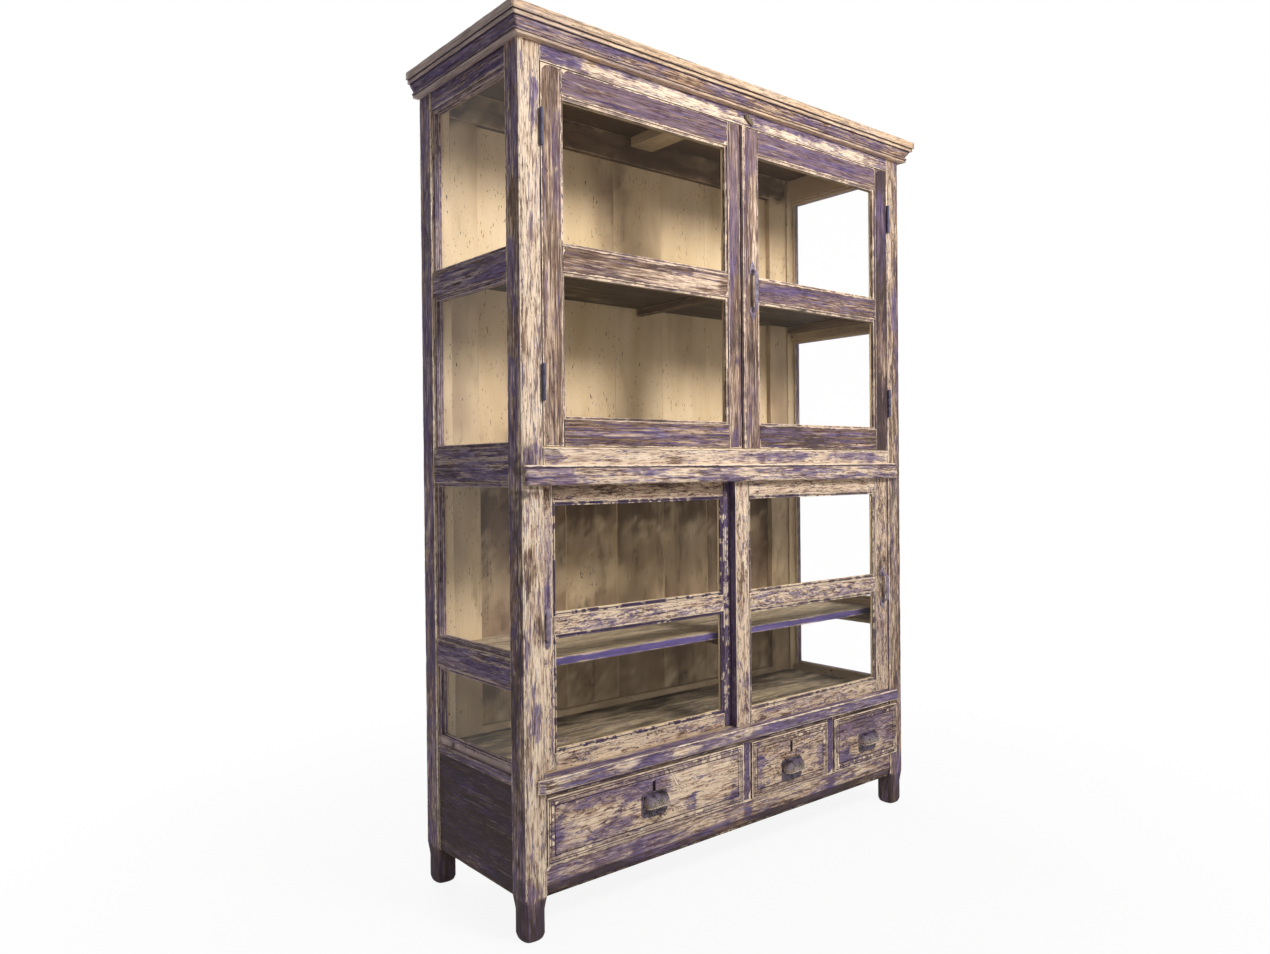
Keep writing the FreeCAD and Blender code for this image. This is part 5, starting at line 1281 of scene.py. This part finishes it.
RIBS = np.array([3, 4.5, 6, 9, 10.5, 12, 15, 16.5, 18]) * MM


def ribbed(made):
    """Three grooves run down the stile where the two sliding doors pass each other."""
    points = made["points"]
    low = points.min(0)
    front_face = points[:, 1] < low[1] + 1.5 * MM
    depth = np.interp(points[:, 0] - low[0], RIBS, (0, 1, 0) * 3)
    points[front_face, 1] += 2 * MM * depth[front_face]
    beside = front_face & (points[:, 0] < low[0] + 19 * MM)
    made["edge"] = np.where(beside, np.where(depth > 0.5, 0.006, 0.0021), made["edge"])
    # The bottoms of the ribs are darkened through nook, as painted shade.
    made["nook"] = np.where(beside & (depth > 0.5), 0.0008, 1.0)


for node, (finish, slot, coats, marks) in DOORS.items():
    door_low, door_high = (np.array(v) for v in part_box(node))
    room = behind(door_high[1] - 0.6 * MM)
    parts = []
    for points in solids(node):
        low, high, along = timber(points)
        name = role(low, high, door_low, door_high)
        passing = node == "slider_left_frame" and name == "right"
        parts.append(board(low, high, along, paint=coats[name], looks={"side": DOOR_EDGE}, room=room,
                           chips=0.8 * MM, marks=marks, joints=along != 2,
                           shape=ribbed if passing else plain_sides,
                           cuts=(RIBS if passing else (), (), ())))
    piece(node, parts, finish)
low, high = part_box("upper_door_right_meeting_bead")
piece("upper_door_right_meeting_bead", [board(low, high, paint=coat(0.4, 0.4, 0.3, 0.6, 0.4), ease=2 * MM)],
      door_paint)

# %% [markdown]
# ## Drawers
#
# A drawer front is one board with a moulding scratched round its border and a raised field inside.

# %% Drawer fronts
BORDER_LINES = np.array([0, 3, 4.4, 5.8, 8, 9.4, 10.8, 16.5, 18.5, 20.5, 40]) * MM
BORDER_RISE = np.array([0, 0, -1.8, 0, 0, -1.8, 0, 0, -2.2, 0.0, 0.0]) * MM


def keyhole_lines(name):
    """The places in x and z of the grid lines round a keyhole; empty where there is no lock."""
    if name == "right":
        return np.array([]), np.array([])
    low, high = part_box(f"drawer_{name}_lock")
    across = (low[0] + high[0]) / 2 + np.array([-6, -4, -3.6, 0, 3.6, 4, 6]) * MM
    return across, high[2] + np.array([-34.4, -34, -22, -10.4, -10]) * MM


# The keyhole and its rim are painted near black: painted shade deep in the hole.
KEYHOLE = coat(0, 0, 1.3, 0, 1, 0)
KEYHOLE_WIDE = 3.8 * MM
KEYHOLE_TALL = 11.8 * MM
KEYHOLE_DEEP = 14 * MM


def panel_face(name, scratches):
    """A shape that presses moulded border, field and keyhole into a drawer front; scratches cut its paint."""
    across, up = keyhole_lines(name)

    def press(made):
        points = made["points"]
        low, high = points.min(0), points.max(0)
        inward = np.minimum(np.minimum(points[:, 0] - low[0], high[0] - points[:, 0]),
                            np.minimum(points[:, 2] - low[2], high[2] - points[:, 2]))
        front_face = points[:, 1] < low[1] + 1.2 * MM
        rise = np.interp(inward, BORDER_LINES, BORDER_RISE)
        points[front_face, 1] -= rise[front_face]
        on_ridge = (inward < 17 * MM) & (rise > -0.2 * MM)
        # The sunk lines of the border are darkened through nook, as painted shade.
        edge, nook = made["edge"], np.where(rise < -1 * MM, 0.0, 0.0026)
        edge = np.where(on_ridge, np.minimum(edge, RIDGE_EDGE), edge)
        if len(across):
            off_x = abs(points[:, 0] - across[3])
            off_z = np.maximum(abs(points[:, 2] - up[2]) - KEYHOLE_TALL, 0)
            rim = front_face & (off_x < KEYHOLE_WIDE + 0.4 * MM) & (off_z < 0.5 * MM)
            hole = rim & (off_x < KEYHOLE_WIDE) & (off_z < 0.1 * MM)
            points[hole, 1] += KEYHOLE_DEEP
            nook[rim] = 0.0
            made["paint"][rim] = KEYHOLE
        for start, end in scratches:
            a, b = (np.array(v) * MM + corner[[0, 2]] for v in (start, end))
            flat = points[:, [0, 2]] - a
            along = np.clip(flat @ (b - a) / ((b - a) @ (b - a)), 0, 1)
            edge = np.minimum(edge, np.linalg.norm(flat - along[:, None] * (b - a), axis=1))
        made["edge"] = np.where(front_face, edge, made["edge"])
        made["nook"] = np.where(front_face, nook, 1.0)
    return press


DRAWERS = {
    "wide": (coat(0.2, 0.96, 0.02, 0.4, 0.34, 0.85), (
        (76, 215, 16, 90, FULL_VIOLET), (190, 255, 130, 26, coat(0.25, 0.5, 0.3, 0.7, 0.5, 0.3)),
        (330, 258, 60, 30, coat(0.45, 0.5, 0.2, 0.8, 0.3, 0.4)),
        (230, 190, 60, 30, coat(0.25, 0.75, 0.15, 0.7, 0.5, 0.6)),
        (500, 215, 90, 50, coat(0.1, 0.95, 0.06, 0.05, 0.4, 0.85)), (600, 175, 20, 30, FULL_VIOLET),
        (460, 190, 16, 20, FULL_VIOLET), (330, 180, 50, 16, coat(0.1, 0.6, 0.2, 0.2, 0.8, 0.7)))),
    "middle": (coat(0.2, 0.82, 0.18, 0.3, 0.6, 0.5), (
        (690, 215, 14, 70, FULL_VIOLET), (850, 170, 70, 26, coat(0.1, 0.9, 0.15, 0.05, 0.6, 0.45)),
        (800, 262, 90, 16, coat(0.05, 0.4, 0.4, 0.4, 0.6, 0.2)), (925, 200, 16, 40, FULL_VIOLET))),
    "right": (coat(0.16, 0.72, 0.22, 0.42, 0.55, 0.42), (
        (1120, 262, 120, 20, coat(0.1, 0.2, 0.4, 0.9, 0.3, 0.2)), (1020, 180, 24, 40, FULL_VIOLET),
        (1130, 190, 50, 26, coat(0.05, 0.9, 0.15, 0.05, 0.6, 0.5)),
        (1230, 215, 22, 60, coat(0.1, 0.3, 0.5, 0.4)))),
}
SCRATCHES = {"wide": (((394, 273), (425, 221)),)}
SCRATCH_GRID = {"wide": (np.arange(390, 430, 2), np.arange(218, 276, 3))}
NEVER_PAINTED = coat(0, 0.2, 0.3)
for name, (paint, marks) in DRAWERS.items():
    node = f"drawer_{name}_front"
    low, high, along = timber(solids(node)[0])
    size = high - low
    cuts = [(), (), ()]
    for axis, keyhole in zip((0, 2), keyhole_lines(name)):
        fine_lines = np.array(SCRATCH_GRID.get(name, ((), ()))[axis // 2]) * MM + corner[axis]
        cuts[axis] = np.concatenate([BORDER_LINES[1:-1], size[axis] - BORDER_LINES[1:-1],
                                     keyhole - low[axis], fine_lines - low[axis]])
    front_board = board(low, high, 0, paint=paint, looks={"side": DEEP}, step=9 * MM,
                        shape=panel_face(name, SCRATCHES.get(name, ())), cuts=cuts, chips=1 * MM,
                        marks=marks, room=NOWHERE)
    piece(node, [front_board], front_paint)
    node = f"drawer_{name}_box"
    boards = [board(*timber(p), paint=NEVER_PAINTED, step=22 * MM, room=NOWHERE) for p in solids(node)]
    piece(node, boards, plank)

# %% [markdown]
# ## Ironwork
#
# A smith cuts, bends and hammers, so the metal pieces are built the same way: an outline is
# stacked in layers into a plate with a soft edge, a flat section is drawn along a bent path into a
# strap, and a bowl is hammered out for the hooded pulls. One value per point says how far fingers
# have rubbed the metal bright; along the lips of the hooded pulls it also lays a painted highlight.

# %% Layers into a solid
def loft(rings, worn=None):
    """A closed solid through rings of points, each ring as long as the others."""
    rings = np.array(rings, float)
    count, n = rings.shape[:2]
    faces = [[r * n + i, r * n + (i + 1) % n, (r + 1) * n + (i + 1) % n, (r + 1) * n + i]
             for r in range(count - 1) for i in range(n)]
    faces += [list(range(n))[::-1], [(count - 1) * n + i for i in range(n)]]
    points = rings.reshape(-1, 3)
    placed = points - points.mean(0)
    volume = sum(placed[f[0]] @ np.cross(placed[f[1]], placed[f[2]]) for f in faces)
    if volume < 0:
        faces = [f[::-1] for f in faces]
    bright = np.zeros(count) if worn is None else np.array(worn, float)
    return {"points": points, "faces": faces, "worn": np.repeat(bright, n)}


def plate(outline, back, front, soft=0.6 * MM, dome=0.0, rub=1.0):
    """An outline in x and z made into a plate between two depths, its front edge softened and rubbed."""
    outline = np.array(outline, float)
    middle = outline.mean(0)
    reach = np.linalg.norm(outline - middle, axis=1).max()
    layers = [(1.0, back), (1.0, front + soft), (1 - 0.4 * soft / reach, front + 0.3 * soft),
              (1 - 1.2 * soft / reach, front), (0.6, front - 0.75 * dome), (0.25, front - dome)]
    rings = []
    for size, depth in layers:
        flat = middle + (outline - middle) * size
        rings.append(np.column_stack([flat[:, 0], np.full(len(flat), depth), flat[:, 1]]))
    return loft(rings, np.array([0, 0.6, 1, 0.5, 0.1, 0.1]) * rub)


def directions(path):
    """Which way a path runs at each of its points."""
    ahead = np.gradient(path, axis=0)
    return ahead / np.linalg.norm(ahead, axis=1, keepdims=True)


STRAP_SECTION = ((1, 0.4), (0.8, 0.9), (0.3, 1), (-0.3, 1), (-0.8, 0.9), (-1, 0.4), (-1, -0.4), (-0.8, -1),
                 (0.8, -1), (1, -0.4))


def strap(path, widths, thick):
    """A flat section with soft corners drawn along a path of points that keeps its x."""
    side = np.eye(3)[0]
    rings = []
    for spot, way, width in zip(path, directions(path), widths):
        out = np.cross(way, side)
        rings.append([spot + side * u * width / 2 + out * v * thick / 2 for u, v in STRAP_SECTION])
    return loft(rings, np.full(len(rings), 0.3))


def bent(corners, radius):
    """A path through corner points whose bends are rounded, with a point every 8 mm or so."""
    corners = [np.array(c, float) for c in corners]
    path = [corners[0]]
    for before, here, after in zip(corners, corners[1:], corners[2:]):
        a, b = before - here, after - here
        cut = min(radius, 0.45 * np.linalg.norm(a), 0.45 * np.linalg.norm(b))
        first, last = here + a / np.linalg.norm(a) * cut, here + b / np.linalg.norm(b) * cut
        for share in np.linspace(0, 1, 5):
            path.append((1 - share) ** 2 * first + 2 * share * (1 - share) * here + share ** 2 * last)
    path.append(corners[-1])
    filled = [path[0]]
    for a, b in zip(path, path[1:]):
        parts = max(1, round(np.linalg.norm(b - a) / (8 * MM)))
        filled += [a + (b - a) * i / parts for i in range(1, parts + 1)]
    return np.array(filled)


# %% Bar pulls
def leaf(middle_x, tip, root, width):
    """A leaf outline: pointed at its tip, square where the bar rises."""
    rise = root - tip
    sides = [(0.0, 0.0), (0.3, 0.1), (0.62, 0.3), (0.9, 0.55), (1.0, 0.75), (0.8, 0.92), (0.62, 1.0)]
    right = [(middle_x + width / 2 * u, tip + rise * v) for u, v in sides]
    left = [(middle_x - width / 2 * u, tip + rise * v) for u, v in sides[:0:-1]]
    return right + left


def bar_pull(node, leaf_tall, root, plate_thick, bar_thick):
    """Two leaf plates and a strap that bows out between them."""
    low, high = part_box(node)
    middle = (low[0] + high[0]) / 2
    face = high[1] - plate_thick
    rise = (high[1] - low[1]) / 2
    depth = low[1] + bar_thick / 2
    path = bent([(middle, high[1] - plate_thick / 2, low[2] + root), (middle, depth, low[2] + root + rise),
                 (middle, depth, high[2] - root - rise),
                 (middle, high[1] - plate_thick / 2, high[2] - root)],
                7 * MM)
    share = (path[:, 2] - path[0, 2]) / (path[-1, 2] - path[0, 2])
    widths = (9 + 4 * np.sin(math.pi * np.clip(share, 0, 1)) ** 0.7) * MM
    parts = [strap(path, widths, bar_thick)]
    for tip, inner in ((low[2], low[2] + leaf_tall), (high[2], high[2] - leaf_tall)):
        parts.append(plate(leaf(middle, tip, inner, high[0] - low[0]), high[1], face, dome=0.7 * MM))
    piece(node, parts, painted_iron)


# %% Hooded pulls
HOOD_MOUTH = 27 * MM
HOOD_INSIDE = np.array([0.93, 0.9, 0.93])
LIP_RADIUS = 2.1 * MM


def hood(low, high, plate_thick):
    """A hammered bowl, open below, with a rolled lip, on a plate with clipped corners."""
    middle = (low[0] + high[0]) / 2
    face = high[1] - plate_thick
    (left, _, bottom), (right, _, top) = low, high
    clip = 7 * MM
    outline = [(left + clip, bottom), (right - clip, bottom), (right, bottom + clip), (right, top - clip),
               (right - clip, top), (left + clip, top), (left, top - clip), (left, bottom + clip)]
    parts = [plate(outline, high[1], face, soft=0.8 * MM, rub=0.15)]
    half = 0.44 * (right - left)
    mouth = bottom + HOOD_MOUTH
    tall = top - 4 * MM - mouth
    out = face - low[1]
    rings = []
    for turn in np.linspace(0, 90, 9):
        up, forth = math.sin(math.radians(turn)) ** 0.8, math.cos(math.radians(turn)) ** 0.7
        line = []
        for swing in np.linspace(0, 180, 25):
            c, s = math.cos(math.radians(swing)), math.sin(math.radians(swing))
            wide = math.copysign(abs(c) ** 0.75, c)
            line.append((middle + half * wide * (0.72 + 0.28 * forth), face - out * forth * s ** 0.55,
                         mouth + tall * up - 3 * MM * abs(c) * (1 - up)))
        rings.append(line)
    shell = np.array(rings)
    centre = np.array([middle, face, mouth])
    inner = centre + (shell - centre) * HOOD_INSIDE
    sheet = np.concatenate([shell[::-1], inner])
    rows, n = sheet.shape[:2]
    faces = [[r * n + i, r * n + i + 1, (r + 1) * n + i + 1, (r + 1) * n + i]
             for r in range(rows - 1) for i in range(n - 1)]
    # The outer shell grows paler towards the lip: finger wear, and partly a painted highlight.
    rub = np.concatenate([np.linspace(0, 0.9, 9) ** 3, np.full(9, 0.0)])
    parts.append({"points": sheet.reshape(-1, 3), "faces": faces, "worn": np.repeat(rub, n)})
    lip = shell[0] + np.array([0, 0.6 * MM, 0])
    rounds = []
    for spot, way in zip(lip, directions(lip)):
        aside = np.cross(way, (0, 0, 1))
        aside /= np.linalg.norm(aside)
        rounds.append([spot + LIP_RADIUS * (math.cos(a) * aside + math.sin(a) * np.array([0, 0, 1.0]))
                       for a in np.linspace(0, 2 * math.pi, 9)[:-1]])
    # The rolled lip is palest in its middle: finger wear, and partly a painted highlight.
    parts.append(loft(rounds, 0.4 + 0.6 * np.sin(np.linspace(0, math.pi, len(lip)))))
    return parts


# %% Hinges
HINGE_TALL = 77 * MM
BARREL_AHEAD = 5.3 * MM
KNUCKLE_RADIUS = 4.2 * MM
KNUCKLE_GAP = 0.2 * MM


def knuckle(x, y, low, high):
    """One turned knuckle with softened ends."""
    soft, radius = 0.8 * MM, KNUCKLE_RADIUS
    heights = (low, low + 0.3 * soft, low + soft, high - soft, high - 0.3 * soft, high)
    sizes = (radius - soft, radius - 0.25 * soft, radius, radius, radius - 0.25 * soft, radius - soft)
    turns = np.linspace(0, 2 * math.pi, 17)[:-1]
    rings = [[(x + r * math.cos(a), y + r * math.sin(a), z) for a in turns]
             for z, r in zip(heights, sizes)]
    return loft(rings, (0.8, 0.8, 0.2, 0.2, 0.8, 0.8))


def hinge_parts(points, on_post):
    """The knuckles and the hidden leaf of one half hinge, measured from its solid."""
    low, high = points.min(0), points.max(0)
    middle = (low + high) / 2
    barrel_y = corner[1] - BARREL_AHEAD
    levels = middle[2] + HINGE_TALL * np.array([-1 / 2, -1 / 6, 1 / 6, 1 / 2])
    spans = (levels[:2], levels[2:]) if on_post else (levels[1:3],)
    parts = [knuckle(middle[0], barrel_y, a + KNUCKLE_GAP, b - KNUCKLE_GAP) for a, b in spans]
    inner = points[points[:, 1] > corner[1] + 3 * MM]
    thin_low, thin_high = inner.min(0), inner.max(0)
    outline = ((thin_low[0], barrel_y), (thin_high[0], barrel_y), (thin_high[0], thin_high[1]),
               (thin_low[0], thin_high[1]))
    parts.append(loft([[(x, y, z) for x, y in outline] for z in (spans[0][0], spans[-1][1])], (0.5, 0.5)))
    return parts


for node, on_post in (("hinge_post_leaves", True), ("upper_door_left_hinge_leaves", False),
                      ("upper_door_right_hinge_leaves", False)):
    piece(node, [p for points in solids(node) for p in hinge_parts(points, on_post)], hinge_iron)
bar_pull("upper_door_right_pull", 35 * MM, 21 * MM, 2 * MM, 3 * MM)
bar_pull("slider_left_pull", 22 * MM, 14 * MM, 1.5 * MM, 2.5 * MM)
bar_pull("slider_right_pull", 30 * MM, 18 * MM, 2 * MM, 3 * MM)
for name in ("wide", "middle", "right"):
    node = f"drawer_{name}_pull"
    low, high = (np.array(v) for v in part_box(node))
    piece(node, hood(low, high, 2 * MM), dark_iron)

# %% Turn button, its screw and the locks
def long_outline(start, end, radius):
    """A round ended outline in x and z between two centres."""
    start, end = np.array(start, float), np.array(end, float)
    way = (end - start) / np.linalg.norm(end - start)
    aside = np.array([way[1], -way[0]])
    turned = [radius * (way * math.sin(a) + aside * math.cos(a)) for a in np.linspace(0, math.pi, 9)]
    return [end + step for step in turned] + [start - step for step in turned]


def round_outline(centre, radius):
    """A circle in x and z."""
    turns = np.linspace(0, 2 * math.pi, 19)[:-1]
    return [(centre[0] + radius * math.cos(a), centre[1] + radius * math.sin(a)) for a in turns]


def square_outline(left, right, bottom, top):
    """A rectangle in x and z."""
    return [(left, bottom), (right, bottom), (right, top), (left, top)]


low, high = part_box("turn_button")
radius = 6 * MM
outline = long_outline((low[0] + radius, high[2] - radius), (high[0] - radius, low[2] + radius), radius)
button = plate(outline, high[1], low[1] + 1.6 * MM, soft=1.4 * MM, dome=1.5 * MM)
piece("turn_button", [button], olive_wood)
low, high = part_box("turn_button_screw")
centre = ((low[0] + high[0]) / 2, (low[2] + high[2]) / 2)
head = plate(round_outline(centre, 4.4 * MM), low[1] + 2.4 * MM, low[1] + 0.8 * MM, dome=0.7 * MM)
shank = plate(round_outline(centre, 2.5 * MM), high[1], low[1] + 1 * MM)
washer = plate(round_outline(centre, 5.8 * MM), corner[1], corner[1] - 1.5 * MM)
piece("turn_button_screw", [head, shank, washer], dark_iron)
for name in ("wide", "middle"):
    node = f"drawer_{name}_lock"
    low, high = (np.array(v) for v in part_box(node))
    middle = (low[0] + high[0]) / 2
    case = square_outline(low[0], high[0], low[2], high[2] - 5 * MM)
    bolt = square_outline(middle - 8 * MM, middle + 8 * MM, high[2] - 8 * MM, high[2])
    lock = [plate(case, low[1], high[1]), plate(bolt, low[1] + 2 * MM, high[1] - 2 * MM)]
    piece(node, lock, dark_iron)

# %% [markdown]
# ## Floor, light and camera
#
# The floor is pale and fades into a plain white surround, so that only a soft shadow ties the
# cabinet to the ground. A soft lamp stands high and close in front, which leaves the left side in
# shade and reaches the back wall only through the lower half of each opening. A wide weak lamp
# behind serves the views of the back.

# %% Floor
FLOOR_HALF = 14.0
WHITE = (1, 1, 1, 1)


def plainly_seen():
    """1 for rays from the camera, off gloss or through glass, which are to meet plain white."""
    straight, off_gloss, through_glass = (
        put("LightPath", out=f"Is {way} Ray") for way in ("Camera", "Glossy", "Transmission"))
    return maths("MAXIMUM", straight, maths("MAXIMUM", off_gloss, through_glass))


floor_mesh = bpy.data.meshes.new("studio_floor")
corners = [(x * FLOOR_HALF, y * FLOOR_HALF, 0) for x, y in ((-1, -1), (1, -1), (1, 1), (-1, 1))]
floor_mesh.from_pydata(corners, [], [(0, 1, 2, 3)])
floor = bpy.data.objects.new("studio_floor", floor_mesh)
bpy.context.scene.collection.objects.link(floor)
floor_paint, shader = start_material("pale studio floor")
feed(shader["Base Color"], (0.86, 0.86, 0.86, 1))
feed(shader["Roughness"], 0.9)
away = put("VectorMath", {0: put("TexCoord", out="Object")}, "Value", operation="LENGTH")
glow = span(away, 0.6, 2.0, 0.9, 1.0)
give_way(glow * plainly_seen(), put("Emission", {"Color": WHITE, "Strength": 1.0}))
floor_mesh.materials.append(floor_paint)
print("floor", 2 * FLOOR_HALF, "m wide")

# %% World and lamps
FILL = 0.30
world = bpy.data.worlds.new("studio")
bpy.context.scene.world = world
world.use_nodes = True
tree = world.node_tree
background = tree.nodes["Background"].inputs
feed(background["Strength"], evenly(plainly_seen(), 0.0, 1.0, FILL, 1.0))
feed(background["Color"], WHITE)


def lamp(name, place, aim, width, power):
    """A square soft lamp."""
    light = bpy.data.lights.new(name, "AREA")
    light.size = width
    light.energy = power
    made = bpy.data.objects.new(name, light)
    made.location = place
    made.rotation_euler = (Vector(aim) - Vector(place)).to_track_quat("-Z", "Y").to_euler()
    bpy.context.scene.collection.objects.link(made)
    return made


lamp("key_lamp", (0.12, -1.95, 2.12), (0, 0, 1.0), 0.6, 43)
lamp("back_lamp", (0.5, 4.2, 2.6), (0, 0, 0.9), 2.5, 130)

# %% Camera
CAMERA_PLACE = (-1.68776, -1.81262, 0.96105)
CAMERA_YAW = -39.673
CAMERA_PITCH = -0.422
CAMERA_ROLL = -0.549
PICTURE_WIDTH = 1270
FOCAL_PIXELS = 950.2
camera_data = bpy.data.cameras.new("camera")
camera = bpy.data.objects.new("camera", camera_data)
bpy.context.scene.collection.objects.link(camera)
turns = ((CAMERA_YAW, "Z"), (90 + CAMERA_PITCH, "X"), (CAMERA_ROLL, "Z"))
yaw, pitch, roll = (Matrix.Rotation(math.radians(angle), 4, axis) for angle, axis in turns)
turned = yaw @ pitch @ roll
camera.matrix_world = Matrix.Translation(CAMERA_PLACE) @ turned
camera_data.sensor_width = 36
camera_data.lens = FOCAL_PIXELS / PICTURE_WIDTH * camera_data.sensor_width
camera_data.clip_end = 60
bpy.context.scene.camera = camera
bpy.context.scene.view_settings.view_transform = "Standard"
